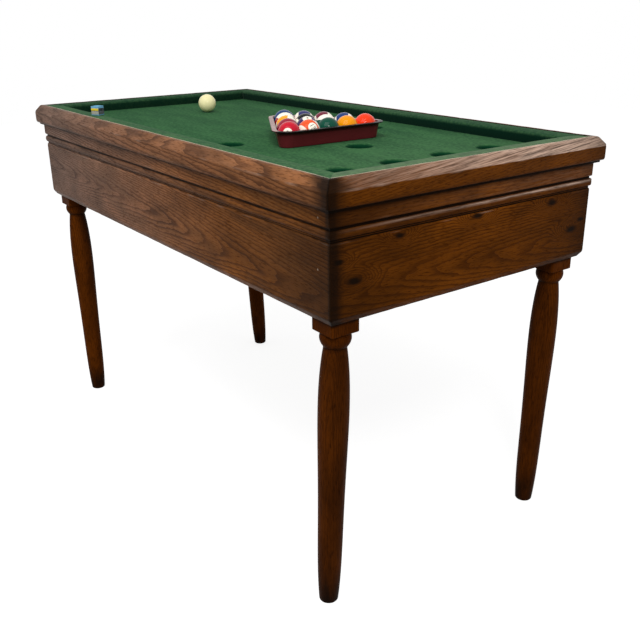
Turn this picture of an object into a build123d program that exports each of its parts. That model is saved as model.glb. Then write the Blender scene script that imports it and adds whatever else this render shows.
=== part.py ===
from build123d import *
import os
from math import cos, radians, sin, sqrt

# Small oak billiard table with sunk cups at one end of its bed, a racked set of balls and a chalk.
# Millimetres, +Z up, origin on the floor under the middle. X runs along the table, Y across it.
# Front and back are the long sides (-Y and +Y), left and right the ends (-X and +X, cups at +X).

os.makedirs("parts", exist_ok=True)

# Body, over the outer faces of the aprons
body_length = 1316.0
body_width = 662.0

# Heights of the layers that stand on each other, from the floor up
floor_to_apron = 610.0
apron_height = 145.0
bead_height = 24.0
frieze_height = 28.0
rail_height = 51.0

# Aprons: the boards of the body, chamfered under
apron_thickness = 15.0
apron_top_chamfer = 3.0
apron_foot_rise = 13.0
apron_foot_set = 9.0
apron_corner_clip = 3.0

# Bead: the half-round strip between body and tray
bead_quirk = 4.0
bead_sink = 3.0
bead_proud = 2.0

# Frieze: the frame that carries bed and rails
frieze_thickness = 30.0
frieze_proud = 2.0
frieze_chamfer = 2.5

# Rail: the moulded top rail, with a foot under the cushion
rail_flat = 9.5
rail_overhang = 15.0
rail_slope_run = 14.0
rail_slope_drop = 18.0
rail_face = 21.0
rail_under_radius = 8.0
rail_foot = 8.0
rail_corner_clip = 4.0

# Cushions: rubber strips under green cloth
cushion_width = 40.0
cushion_crown = 1.5
cushion_nose_radius = 5.0
cushion_undercut = 6.0
cushion_draw = 1.2

# Bed: board, cloth and cups
bed_thickness = 23.5
cloth_thickness = 1.5
bed_clearance = 0.5
pocket_radius = 27.0
pocket_round = 5.0
lining_depth = 17.0
lining_clearance = 0.3
cup_depth = 26.0
cup_wall = 4.0
cup_floor = 4.0
cup_flange = 10.0
cup_flange_thickness = 4.0
cup_corner_radius = 9.0
end_row_inset = 150.0
centre_pocket_step = 186.0
side_pair_step = 194.0
outer_pocket_inset = 137.0
end_row_pockets = 4

# Bearers under the bed, let into the long friezes
bearer_width = 40.0
bearer_housing = 10.0
bearer_clearance = 0.3
bearer_end_inset = 348.0
bearer_pocket_gap = 98.0

# Legs: a square head in the corner of the body, then a ring and a turned shaft.
# Three of them have settled out of plumb: each foot stands off its head, along and across the table.
leg_head = 60.0
leg_head_drop = 27.0
leg_head_clip = 16.0
leg_ring_height = 27.0
leg_ring_radius = 28.6
leg_ring_top_radius = 25.5
leg_ring_foot_radius = 22.4
leg_ring_swell_drop = 12.0
leg_ring_root = 4.0
leg_neck_radius = 20.6
leg_shoulder_radius = 26.2
leg_shoulder_drop = 48.0
leg_belly_radius = 28.7
leg_belly_drop = 171.0
leg_shin_radius = 25.1
leg_shin_height = 208.0
leg_foot_radius = 19.0
leg_foot_round = 6.0
leg_foot_trim = 2.0
foot_settling = {
    "front_left": (0.0, 0.0),
    "front_right": (-19.0, -6.0),
    "back_left": (11.0, 21.0),
    "back_right": (-18.0, 6.0),
}

# Corner braces, and the bolts that draw the leg heads into the corners
brace_thickness = 22.0
brace_height = 60.0
brace_drop = 35.0
brace_gap = 0.6
bolt_diameter = 8.0
bolt_clearance = 0.3
bolt_bite = 30.0
bolt_tail = 9.0
washer_radius = 9.0
washer_thickness = 1.6
nut_across_flats = 13.0
nut_height = 6.5

# Balls, rack and chalk
ball_diameter = 47.6
ball_gap = 2.4
rest_gap = 0.3
rack_rows = 5
rack_wall = 2.6
rack_floor = 3.0
rack_clearance = 0.4
rack_height = 35.0
rack_draft = 6.0
rack_corner_radius = 21.0
rack_foot_round = 2.0
rack_flange = 8.0
rack_flange_thickness = 2.6
rack_base_x = 262.0
rack_base_y = -15.0
rack_turn = -1.1
cue_ball_x = -398.0
cue_ball_y = 42.0
chalk_side = 22.0
chalk_x = -335.0
chalk_set = 25.0
chalk_turn = 30.0
chalk_dish_radius = 14.0
chalk_dish_depth = 4.0
chalk_edge = 0.8

# Levels and places that follow from these sizes
apron_top = floor_to_apron + apron_height
bead_top = apron_top + bead_height
frieze_top = bead_top + frieze_height
rail_top = frieze_top + rail_height
cloth_bottom = frieze_top + bed_thickness
bed_top = cloth_bottom + cloth_thickness
half_length = body_length / 2
half_width = body_width / 2
rail_outer = frieze_proud + rail_overhang
seam = rail_outer - rail_slope_run - rail_flat
foot_inner = seam - rail_foot
bed_length = body_length + 2 * (foot_inner - bed_clearance)
bed_width = body_width + 2 * (foot_inner - bed_clearance)
bore_radius = pocket_radius + cloth_thickness
end_row_x = half_length - end_row_inset
centre_pocket_x = end_row_x - centre_pocket_step
side_pair_x = centre_pocket_x - side_pair_step
outer_pocket_y = half_width - outer_pocket_inset
end_row_step = 2 * outer_pocket_y / (end_row_pockets - 1)
pocket_places = [(end_row_x, index * end_row_step - outer_pocket_y) for index in range(end_row_pockets)]
pocket_places += [(centre_pocket_x, 0.0), (side_pair_x, -outer_pocket_y), (side_pair_x, outer_pocket_y)]
between_rows = (end_row_x + centre_pocket_x) / 2
bearer_places = (bearer_end_inset - half_length, side_pair_x - bearer_pocket_gap, between_rows)
ball_radius = ball_diameter / 2
ball_centre_z = bed_top + rest_gap + ball_radius
racked_centre = rack_floor + rest_gap + ball_radius

# Each side: its outward direction, the distance of its apron face from the middle and half its run
sides = {
    "front": (Vector(0, -1, 0), half_width, half_length),
    "back": (Vector(0, 1, 0), half_width, half_length),
    "left": (Vector(-1, 0, 0), half_length, half_width),
    "right": (Vector(1, 0, 0), half_length, half_width),
}
corners = {
    "front_left": (-1, -1),
    "front_right": (1, -1),
    "back_left": (-1, 1),
    "back_right": (1, 1),
}


def save(piece, label):
    """Name a finished piece and write it to its own file."""
    piece.label = label
    export_step(piece, f"parts/{label}.step")


def mitred_strip(side, outline, reach, clip):
    """One side of a frame: a section drawn from the apron face outwards and upwards, mitred at both
    ends. reach is how far the section stands out of the apron face, clip the cut on its corner."""
    outward, across, run = sides[side]
    along = outward.cross(Vector(0, 0, 1))
    with BuildPart() as strip:
        with BuildSketch(Plane(origin=outward * across, x_dir=outward, z_dir=along)):
            with BuildLine():
                outline()
            make_face()
        extrude(amount=run + reach, both=True)
        for end in (along, -along):
            mitre = Plane(origin=outward * across + end * run, z_dir=end - outward)
            split(bisect_by=mitre, keep=Keep.BOTTOM)
            if clip > 0:
                arris = outward * (across + reach - clip) + end * (run + reach)
                split(bisect_by=Plane(origin=arris, z_dir=end + outward), keep=Keep.BOTTOM)
    return strip.part


def apron_outline():
    """Board with a small chamfer on top and a steep one under its face."""
    Polyline(
        (-apron_thickness, floor_to_apron),
        (-apron_foot_set, floor_to_apron),
        (0, floor_to_apron + apron_foot_rise),
        (0, apron_top - apron_top_chamfer),
        (-apron_top_chamfer, apron_top),
        (-apron_thickness, apron_top),
        close=True,
    )


def bead_outline():
    """Strip with a half-round bead between two quirks."""
    low = apron_top + bead_quirk
    high = bead_top - bead_quirk
    Polyline(
        (-bead_sink, high),
        (-bead_sink, bead_top),
        (-apron_thickness, bead_top),
        (-apron_thickness, apron_top),
        (-bead_sink, apron_top),
        (-bead_sink, low),
    )
    ThreePointArc((-bead_sink, low), (bead_proud, (low + high) / 2), (-bead_sink, high))


def frieze_outline():
    """Plain board with its lower edge eased."""
    Polyline(
        (frieze_proud - frieze_thickness, bead_top),
        (frieze_proud - frieze_chamfer, bead_top),
        (frieze_proud, bead_top + frieze_chamfer),
        (frieze_proud, frieze_top),
        (frieze_proud - frieze_thickness, frieze_top),
        close=True,
    )


def rail_outline():
    """Flat top, slope, upright face and a rounded underside, with a low foot towards the bed."""
    slope_foot = rail_top - rail_slope_drop
    face_foot = slope_foot - rail_face
    under = rail_outer - rail_under_radius
    RadiusArc((rail_outer, face_foot), (under, face_foot - rail_under_radius), rail_under_radius)
    Polyline(
        (under, face_foot - rail_under_radius),
        (under, frieze_top),
        (foot_inner, frieze_top),
        (foot_inner, bed_top),
        (seam, bed_top),
        (seam, rail_top),
        (seam + rail_flat, rail_top),
        (rail_outer, slope_foot),
        (rail_outer, face_foot),
    )


def cushion_outline():
    """Crowned top, rounded nose and a face drawn in under the nose."""
    nose = seam - cushion_width
    shoulder = rail_top - cushion_crown
    lip = shoulder - cushion_nose_radius
    foot = nose + cushion_undercut
    nose_centre = nose + cushion_nose_radius
    corner = cushion_nose_radius / sqrt(2)
    Polyline((foot, bed_top), (seam, bed_top), (seam, shoulder))
    ThreePointArc((seam, shoulder), ((seam + nose_centre) / 2, rail_top), (nose_centre, shoulder))
    ThreePointArc((nose_centre, shoulder), (nose_centre - corner, lip + corner), (nose, lip))
    middle = ((nose + foot) / 2 + cushion_draw, (lip + bed_top) / 2)
    ThreePointArc((nose, lip), middle, (foot, bed_top))


# Body, tray and rails: four mitred sides to each layer
for side in sides:
    save(mitred_strip(side, apron_outline, 0, apron_corner_clip), f"apron_{side}")
    save(mitred_strip(side, bead_outline, bead_proud, 0), f"bead_{side}")
    save(mitred_strip(side, rail_outline, rail_outer, rail_corner_clip), f"rail_{side}")
    save(mitred_strip(side, cushion_outline, seam, 0), f"cushion_{side}")

# Friezes, the long ones with a housing for each bearer
bearer_end = half_width + frieze_proud - frieze_thickness + bearer_housing
for side in sides:
    with BuildPart() as frieze:
        add(mitred_strip(side, frieze_outline, frieze_proud, apron_corner_clip))
        if side in ("front", "back"):
            outward = sides[side][0].Y
            with BuildSketch(Plane.XY.offset(bead_top)):
                with Locations(*[(x, outward * bearer_end) for x in bearer_places]):
                    Rectangle(bearer_width + 2 * bearer_clearance, 2 * bearer_housing)
            extrude(amount=frieze_height, mode=Mode.SUBTRACT)
    save(frieze.part, f"frieze_{side}")

# Bearers, level with the top of the friezes
for number, place in enumerate(bearer_places, start=1):
    with BuildPart() as bearer:
        with BuildSketch(Plane.XY.offset(bead_top)):
            with Locations((place, 0)):
                Rectangle(bearer_width, 2 * (bearer_end - bearer_clearance))
        extrude(amount=frieze_height)
    save(bearer.part, f"bearer_{number}")

# Bed board, bored for the cups, with the mouth of each bore rounded over
with BuildPart() as bed_board:
    with BuildSketch(Plane.XY.offset(frieze_top)):
        Rectangle(bed_length, bed_width)
        with Locations(*pocket_places):
            Circle(bore_radius, mode=Mode.SUBTRACT)
    extrude(amount=bed_thickness)
    mouths = bed_board.faces().sort_by(Axis.Z)[-1].edges().filter_by(GeomType.CIRCLE)
    fillet(mouths, radius=pocket_round)
save(bed_board.part, "bed_board")

# Cloth: a sheet over the board that rolls over each mouth and lines the bore
mouth_radius = bore_radius + pocket_round
with BuildPart() as lining:
    with BuildSketch(Plane.XZ):
        with BuildLine():
            turn = cloth_bottom - pocket_round
            inner = pocket_round + lining_clearance
            outer = pocket_round + cloth_thickness
            hem = cloth_bottom - lining_depth
            RadiusArc((mouth_radius - outer, turn), (mouth_radius, turn + outer), outer)
            Line((mouth_radius, turn + outer), (mouth_radius, turn + inner))
            RadiusArc((mouth_radius, turn + inner), (mouth_radius - inner, turn), -inner)
            Polyline(
                (mouth_radius - inner, turn),
                (mouth_radius - inner, hem),
                (mouth_radius - outer, hem),
                (mouth_radius - outer, turn),
            )
        make_face()
    revolve(axis=Axis.Z)
with BuildPart() as bed_cloth:
    with BuildSketch(Plane.XY.offset(cloth_bottom)):
        Rectangle(bed_length, bed_width)
        with Locations(*pocket_places):
            Circle(mouth_radius, mode=Mode.SUBTRACT)
    extrude(amount=cloth_thickness)
    with Locations(*pocket_places):
        add(lining.part)
save(bed_cloth.part, "bed_cloth")

# Cups: turned bowls whose flanges sit against the underside of the board
with BuildPart() as cup:
    with BuildSketch(Plane.XZ):
        with BuildLine():
            floor = frieze_top - cup_depth
            wall_outer = bore_radius + cup_wall
            Polyline(
                (bore_radius - cup_corner_radius, floor),
                (0, floor),
                (0, floor - cup_floor),
                (wall_outer, floor - cup_floor),
                (wall_outer, frieze_top - cup_flange_thickness),
                (wall_outer + cup_flange, frieze_top - cup_flange_thickness),
                (wall_outer + cup_flange, frieze_top),
                (bore_radius, frieze_top),
                (bore_radius, floor + cup_corner_radius),
            )
            RadiusArc(
                (bore_radius, floor + cup_corner_radius),
                (bore_radius - cup_corner_radius, floor),
                cup_corner_radius,
            )
        make_face()
    revolve(axis=Axis.Z)
for number, place in enumerate(pocket_places, start=1):
    with BuildPart() as pocket_cup:
        with Locations(place):
            add(cup.part)
    save(pocket_cup.part, f"pocket_cup_{number}")

# Legs, corner braces and bolts
head_bottom = floor_to_apron - leg_head_drop
neck = head_bottom - leg_ring_height
leg_inset = apron_thickness + leg_head / 2
flat_distance = (leg_head - leg_head_clip) / sqrt(2)
brace_near = leg_head / sqrt(2) + flat_distance + brace_gap
brace_top = apron_top - brace_drop
bolt_level = brace_top - brace_height / 2
for corner, (sx, sy) in corners.items():
    leg_x = sx * (half_length - leg_inset)
    leg_y = sy * (half_width - leg_inset)
    inward = Vector(-sx, -sy, 0).normalized()
    flat = Plane(origin=Vector(leg_x, leg_y, bolt_level) + inward * flat_distance, z_dir=inward)
    along, across = foot_settling[corner]
    upward = Vector(-along, -across, head_bottom).normalized()
    foot_end = Vector(leg_x, leg_y, head_bottom) - upward * head_bottom
    sideways = Vector(0, 1, 0).cross(upward).normalized()
    with BuildPart() as leg:
        with BuildSketch(Plane(origin=(leg_x, leg_y, head_bottom))):
            Rectangle(leg_head, leg_head)
        extrude(amount=bead_top - head_bottom)
        inner_arris = leg.edges().filter_by(Axis.Z).sort_by_distance((0, 0, bolt_level))[0]
        chamfer(inner_arris, length=leg_head_clip)
        with Locations(flat):
            Hole(bolt_diameter / 2 + bolt_clearance, depth=bolt_bite)
        with BuildSketch(Plane(origin=foot_end, x_dir=sideways, z_dir=sideways.cross(upward))):
            with BuildLine():
                ThreePointArc(
                    (leg_ring_top_radius, head_bottom),
                    (leg_ring_radius, head_bottom - leg_ring_swell_drop),
                    (leg_ring_foot_radius, neck),
                )
                Line((leg_ring_foot_radius, neck), (leg_neck_radius, neck))
                Spline(
                    (leg_neck_radius, neck),
                    (leg_shoulder_radius, neck - leg_shoulder_drop),
                    (leg_belly_radius, neck - leg_belly_drop),
                    (leg_shin_radius, leg_shin_height),
                    (leg_foot_radius, leg_foot_round - leg_foot_trim),
                )
                sole_radius = leg_foot_radius - leg_foot_round
                RadiusArc(
                    (leg_foot_radius, leg_foot_round - leg_foot_trim),
                    (sole_radius, -leg_foot_trim),
                    leg_foot_round,
                )
                Polyline(
                    (sole_radius, -leg_foot_trim),
                    (0, -leg_foot_trim),
                    (0, head_bottom + leg_ring_root),
                    (leg_ring_top_radius, head_bottom + leg_ring_root),
                    (leg_ring_top_radius, head_bottom),
                )
            make_face()
        revolve(axis=Axis(foot_end, upward))
        split(bisect_by=Plane.XY, keep=Keep.TOP)
    save(leg.part, f"leg_{corner}")

    corner_x = sx * (half_length - apron_thickness)
    corner_y = sy * (half_width - apron_thickness)
    near_leg = brace_near * sqrt(2)
    far_leg = (brace_near + brace_thickness) * sqrt(2)
    with BuildPart() as brace:
        with BuildSketch(Plane.XY.offset(brace_top - brace_height)):
            with BuildLine():
                Polyline(
                    (corner_x - sx * near_leg, corner_y),
                    (corner_x - sx * far_leg, corner_y),
                    (corner_x, corner_y - sy * far_leg),
                    (corner_x, corner_y - sy * near_leg),
                    close=True,
                )
            make_face()
        extrude(amount=brace_height)
        with Locations(flat.offset(brace_gap + brace_thickness)):
            Hole(bolt_diameter / 2 + bolt_clearance, depth=brace_thickness)
    save(brace.part, f"corner_brace_{corner}")

with BuildPart() as leg_bolts:
    for sx, sy in corners.values():
        inward = Vector(-sx, -sy, 0).normalized()
        axis_x = sx * (half_length - leg_inset)
        axis_y = sy * (half_width - leg_inset)
        flat = Plane(origin=Vector(axis_x, axis_y, bolt_level) + inward * flat_distance, z_dir=inward)
        seat = brace_gap + brace_thickness
        with BuildSketch(flat.offset(bolt_clearance - bolt_bite)):
            Circle(bolt_diameter / 2)
        extrude(amount=bolt_bite + seat + washer_thickness + nut_height + bolt_tail)
        with BuildSketch(flat.offset(seat)):
            Circle(washer_radius)
        extrude(amount=washer_thickness)
        with BuildSketch(flat.offset(seat + washer_thickness)):
            RegularPolygon(nut_across_flats / 2, 6, major_radius=False)
        extrude(amount=nut_height)
save(leg_bolts.part, "leg_bolts")

# Rack: a moulded triangular tray whose walls lean out towards a flange; it is measured at the balls' middles
pitch = ball_diameter + ball_gap
centres_inradius = (rack_rows - 1) * pitch / (2 * sqrt(3))
rack_inner = centres_inradius + ball_radius + rack_clearance
rack_outer = rack_inner + rack_wall
toward_base = Vector(cos(radians(rack_turn)), sin(radians(rack_turn)), 0)
rack_middle = Vector(rack_base_x, rack_base_y, bed_top + rest_gap) - toward_base * rack_outer
rack_plane = Plane(origin=rack_middle, x_dir=toward_base, z_dir=(0, 0, 1))


def rack_triangle(inradius):
    """Triangle with its base towards the cups, its corners rounded from the inner radius outwards."""
    with BuildSketch(mode=Mode.PRIVATE) as triangle:
        RegularPolygon(inradius, 3, major_radius=False, rotation=180)
        fillet(triangle.vertices(), radius=rack_corner_radius + inradius - rack_inner)
    return triangle.sketch


def rack_lean(level):
    """How far the walls stand out at a level above the tray's foot."""
    return rack_draft * (level - racked_centre) / rack_height


with BuildPart() as rack:
    for level in (0, rack_height):
        with BuildSketch(rack_plane.offset(level)):
            add(rack_triangle(rack_outer + rack_lean(level)))
    loft(ruled=True)
    fillet(rack.faces().sort_by(Axis.Z)[0].edges(), radius=rack_foot_round)
    with BuildSketch(rack_plane.offset(rack_height - rack_flange_thickness)):
        add(rack_triangle(rack_outer + rack_lean(rack_height) + rack_flange))
    extrude(amount=rack_flange_thickness)
    for level in (rack_floor, rack_height):
        with BuildSketch(rack_plane.offset(level)):
            add(rack_triangle(rack_inner + rack_lean(level)))
    loft(ruled=True, mode=Mode.SUBTRACT)
save(rack.part, "rack")

# Balls: five rows in the rack, apex first, and the cue ball out on the bed
row_step = pitch * sqrt(3) / 2
across_rack = Vector(-toward_base.Y, toward_base.X, 0)
apex = rack_middle - toward_base * (2 * centres_inradius)
number = 0
for row in range(rack_rows):
    for place in range(row + 1):
        number += 1
        centre = apex + toward_base * (row * row_step) + across_rack * ((place - row / 2) * pitch)
        with BuildPart() as ball:
            with Locations((centre.X, centre.Y, centre.Z + racked_centre)):
                Sphere(ball_radius)
        save(ball.part, f"ball_{number:02d}")
with BuildPart() as cue_ball:
    with Locations((cue_ball_x, cue_ball_y, ball_centre_z)):
        Sphere(ball_radius)
save(cue_ball.part, "cue_ball")

# Chalk: a small block with a dished top, on the crown of the front cushion
chalk_y = -(half_width + seam - chalk_set)
chalk_floor = rail_top + rest_gap
chalk_way = (cos(radians(chalk_turn)), sin(radians(chalk_turn)), 0)
with BuildPart() as chalk:
    with BuildSketch(Plane(origin=(chalk_x, chalk_y, chalk_floor), x_dir=chalk_way, z_dir=(0, 0, 1))):
        Rectangle(chalk_side, chalk_side)
    extrude(amount=chalk_side)
    chamfer(chalk.edges(), length=chalk_edge)
    with Locations((chalk_x, chalk_y, chalk_floor + chalk_side + chalk_dish_radius - chalk_dish_depth)):
        Sphere(chalk_dish_radius, mode=Mode.SUBTRACT)
save(chalk.part, "chalk")
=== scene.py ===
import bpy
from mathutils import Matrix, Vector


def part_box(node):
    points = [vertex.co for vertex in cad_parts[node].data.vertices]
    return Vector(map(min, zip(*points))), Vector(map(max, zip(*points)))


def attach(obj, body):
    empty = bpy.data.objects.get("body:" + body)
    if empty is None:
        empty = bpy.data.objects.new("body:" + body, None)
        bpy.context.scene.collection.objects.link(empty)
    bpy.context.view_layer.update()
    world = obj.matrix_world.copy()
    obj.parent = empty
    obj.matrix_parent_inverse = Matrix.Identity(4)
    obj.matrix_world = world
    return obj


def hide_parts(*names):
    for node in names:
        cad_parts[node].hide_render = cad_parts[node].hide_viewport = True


bl_info = {
    "name": "Oak billiard table",
    "version": (1, 0, 0),
    "blender": (4, 5, 0),
    "location": "3D View > Sidebar > Billiard table",
    "description": "Dresses a small oak billiard table with its cloth, cushions, rack, balls and chalk",
    "category": "Object",
}

import math

import bmesh
import bpy
import numpy as np
from bpy.props import FloatProperty, FloatVectorProperty, IntProperty
from mathutils import Matrix

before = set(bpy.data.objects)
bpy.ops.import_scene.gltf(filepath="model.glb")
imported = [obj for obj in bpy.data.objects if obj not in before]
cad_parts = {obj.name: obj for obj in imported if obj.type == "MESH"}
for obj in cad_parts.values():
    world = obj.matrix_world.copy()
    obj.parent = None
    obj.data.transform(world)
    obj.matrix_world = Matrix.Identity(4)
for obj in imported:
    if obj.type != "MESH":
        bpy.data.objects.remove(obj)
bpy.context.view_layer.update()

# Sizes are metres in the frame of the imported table: X along it, Y across it, Z up from the floor.
# Front and back are the long sides (-Y and +Y), left and right the ends, with the pockets at the right.
MM = 0.001
LOW, HIGH = 0, 1
X, Y, Z = 0, 1, 2
UP = np.array((0.0, 0.0, 1.0))
RANDOM_SEED = 7


def edge(node, end, axis):
    """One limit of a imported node's box."""
    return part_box(node)[end][axis]


def middle(node):
    """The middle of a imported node's box."""
    low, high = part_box(node)
    return np.array((low + high) / 2)


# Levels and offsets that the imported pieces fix; offsets are measured outwards from the apron's face
half_length = edge("apron_right", HIGH, X)
half_width = edge("apron_back", HIGH, Y)
apron_low = edge("apron_front", LOW, Z)
apron_top = edge("bead_front", LOW, Z)
bead_top = edge("frieze_front", LOW, Z)
frieze_top = edge("rail_front", LOW, Z)
rail_top = edge("rail_front", HIGH, Z)
bed_top = edge("bed_cloth", HIGH, Z)
apron_inner = edge("apron_right", LOW, X) - half_length
bead_outer = edge("bead_right", HIGH, X) - half_length
frieze_outer = edge("frieze_right", HIGH, X) - half_length
frieze_inner = edge("frieze_right", LOW, X) - half_length
rail_outer = edge("rail_right", HIGH, X) - half_length
rail_foot = edge("rail_right", LOW, X) - half_length
seam = edge("cushion_right", HIGH, X) - half_length
cushion_nose = edge("cushion_right", LOW, X) - half_length
ball_radius = (edge("cue_ball", HIGH, Z) - edge("cue_ball", LOW, Z)) / 2

# Each side: its outward direction, the distance of its apron face from the middle and half its run
SIDES = {
    "front": (np.array((0.0, -1.0, 0.0)), half_width, half_length),
    "back": (np.array((0.0, 1.0, 0.0)), half_width, half_length),
    "left": (np.array((-1.0, 0.0, 0.0)), half_length, half_width),
    "right": (np.array((1.0, 0.0, 0.0)), half_length, half_width),
}

# How far each leg's foot has settled off its head, in millimetres along and across the table
FOOT_SETTLING = {
    "front_left": (0.0, 0.0),
    "front_right": (-19.0, -6.0),
    "back_left": (11.0, 21.0),
    "back_right": (-18.0, 6.0),
}


def srgb(code):
    """Linear red, green and blue of an sRGB hex colour."""
    parts = np.array([int(code[i : i + 2], 16) for i in (1, 3, 5)]) / 255
    linear = np.where(parts <= 0.04045, parts / 12.92, ((parts + 0.055) / 1.055) ** 2.4)
    return tuple(float(part) for part in linear)


def colour(name, description, code):
    """A colour setting whose default is an sRGB hex value."""
    return FloatVectorProperty(name=name, description=description, subtype="COLOR", default=srgb(code), min=0, max=1)


def length(name, description, default):
    """A length setting in metres."""
    return FloatProperty(name=name, description=description, default=default, unit="LENGTH", precision=5)


class BILLIARD_PG_oak(bpy.types.PropertyGroup):
    slope_run: length("Slope run", "How far the rail's slope runs outwards", 14 * MM)
    slope_drop: length("Slope drop", "How far the rail's slope drops", 18 * MM)
    under_drop: length("Underside drop", "Height of the rail's underside over the frieze", 4 * MM)
    under_set: length("Underside set", "How far the rail's underside is set back", 8 * MM)
    foot_rise: length("Foot rise", "Height of the chamfer under the apron", 13 * MM)
    foot_set: length("Foot set", "Depth of the chamfer under the apron", 9 * MM)
    top_chamfer: length("Top chamfer", "Chamfer along the apron's top", 3 * MM)
    quirk: length("Quirk", "Groove on each side of the bead", 4 * MM)
    quirk_depth: length("Quirk depth", "Depth of the grooves behind the apron's face", 3 * MM)
    corner_clip: length("Corner clip", "Cut across the corners of the frames", 3 * MM)
    arris_ease: length("Arris easing", "Rounding of the boards' edges", 1.6 * MM)
    arris_dent: length("Arris dents", "Depth of the knocks along the edges", 0.5 * MM)
    wear_width: length("Wear width", "Width of the worn band along an edge", 2.2 * MM)
    seam_width: length("Seam width", "Width of the bare band beside the cloth", 5 * MM)
    station: length("Station", "Spacing of the sections along a board", 6 * MM)
    ring_width: length("Ring width", "Width of one year's growth in the long boards", 4.2 * MM)
    end_ring_width: length("End ring width", "Width of one year's growth in the end boards", 3.8 * MM)
    leg_ring_width: length("Leg ring width", "Width of one year's growth in the legs", 4.2 * MM)
    early: colour("Early wood", "Open, darker wood of the long boards", "#512b0b")
    late: colour("Late wood", "Dense, paler wood of the long boards", "#8c5424")
    tint: colour("Tint", "Weathered patches of the long boards", "#7b4e28")
    end_early: colour("End early wood", "Open, darker wood of the end boards", "#421e03")
    end_late: colour("End late wood", "Dense, paler wood of the end boards", "#733e0b")
    end_tint: colour("End tint", "Warm patches of the end boards", "#643407")
    leg_early: colour("Leg early wood", "Dark streaks of the legs", "#301302")
    leg_late: colour("Leg late wood", "Paler wood of the legs", "#5e2d05")
    leg_tint: colour("Leg tint", "Patches of the legs", "#4e2404")
    # This near black is painted shade in the recesses and hollows of the boards and legs, dirt in the joints and the
    # dark of the knots
    grime: colour("Grime", "Old polish and dirt in the recesses", "#120a05")
    # This pale is also painted light on lightened boards and a painted highlight along some edges
    worn: colour("Worn wood", "Bare wood where the polish is rubbed off", "#b29684")
    raw_edge: colour("Raw edge", "Pale edge of the rails beside the cloth", "#e3d6ba")
    putty: colour("Putty", "Stopping over the heads of nails", "#a89584")


class BILLIARD_PG_leg(bpy.types.PropertyGroup):
    head: length("Head", "Side of the square head", 60 * MM)
    head_drop: length("Head drop", "How far the head comes down below the aprons", 27 * MM)
    head_clip: length("Head clip", "Flat on the head's inner edge", 16 * MM)
    head_ease: length("Head easing", "Rounding of the head's edges", 2.5 * MM)
    ring_height: length("Ring height", "Height of the turned ring", 27 * MM)
    ring_top: length("Ring top", "Radius of the ring under the head", 25.5 * MM)
    ring_radius: length("Ring radius", "Radius of the ring's swell", 28.6 * MM)
    ring_foot: length("Ring foot", "Radius of the ring over the neck", 22.4 * MM)
    swell_drop: length("Swell drop", "How far the ring's swell lies below the head", 12 * MM)
    neck: length("Neck", "Radius under the ring", 20.6 * MM)
    shoulder: length("Shoulder", "Radius of the shoulder", 26.2 * MM)
    shoulder_drop: length("Shoulder drop", "How far the shoulder lies below the neck", 48 * MM)
    belly: length("Belly", "Radius of the thickest part", 28.7 * MM)
    belly_drop: length("Belly drop", "How far the thickest part lies below the neck", 171 * MM)
    shin: length("Shin", "Radius of the lower shaft", 25.1 * MM)
    shin_height: length("Shin height", "Height of the lower shaft over the floor", 208 * MM)
    foot: length("Foot", "Radius over the foot's rounding", 19 * MM)
    foot_round: length("Foot round", "Height of the foot's rounding", 4 * MM)


class BILLIARD_PG_baize(bpy.types.PropertyGroup):
    pocket_radius: length("Pocket radius", "Radius of a lined pocket", 27 * MM)
    mouth_round: length("Mouth round", "Radius at which the cloth rolls into a pocket", 6.5 * MM)
    lining_depth: length("Lining depth", "How far the cloth lines a pocket below the bed", 17 * MM)
    patch: length("Patch", "Half the side of the square of cloth around a pocket", 45 * MM)
    mesh_step: length("Mesh step", "Spacing of the cloth's mesh", 5 * MM)
    thickness: length("Thickness", "Thickness of the cloth", 1.2 * MM)
    crown: length("Crown", "Rise of the cushion's top", 1.5 * MM)
    nose_round: length("Nose round", "Rounding of the cushion's nose", 5 * MM)
    undercut: length("Undercut", "How far the cushion's foot is set back under its nose", 6 * MM)
    bed: colour("Bed cloth", "Wool baize of the bed", "#35643a")
    bed_shade: colour("Bed cloth shade", "Brushed-down nap of the bed", "#1f492a")
    cushion: colour("Cushion cloth", "Wool baize of the cushions", "#436642")
    cushion_shade: colour("Cushion cloth shade", "Brushed-down nap of the cushions", "#2d4e34")
    # Painted shade with some soil: this dark green darkens the cloth as it rolls down into the pockets
    hole: colour("Hole shade", "Soiled lining of the pockets", "#06351f")
    # Painted shade with some soil: this darker green lies on the cushions' faces under the nose and on the far
    # cushions' tops
    under: colour("Cushion soil", "Soiled cloth under the cushions' noses", "#02271b")
    dust: colour("Dust", "Chalk dust and wear on the cushions' tops", "#b4b49a")


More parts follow.
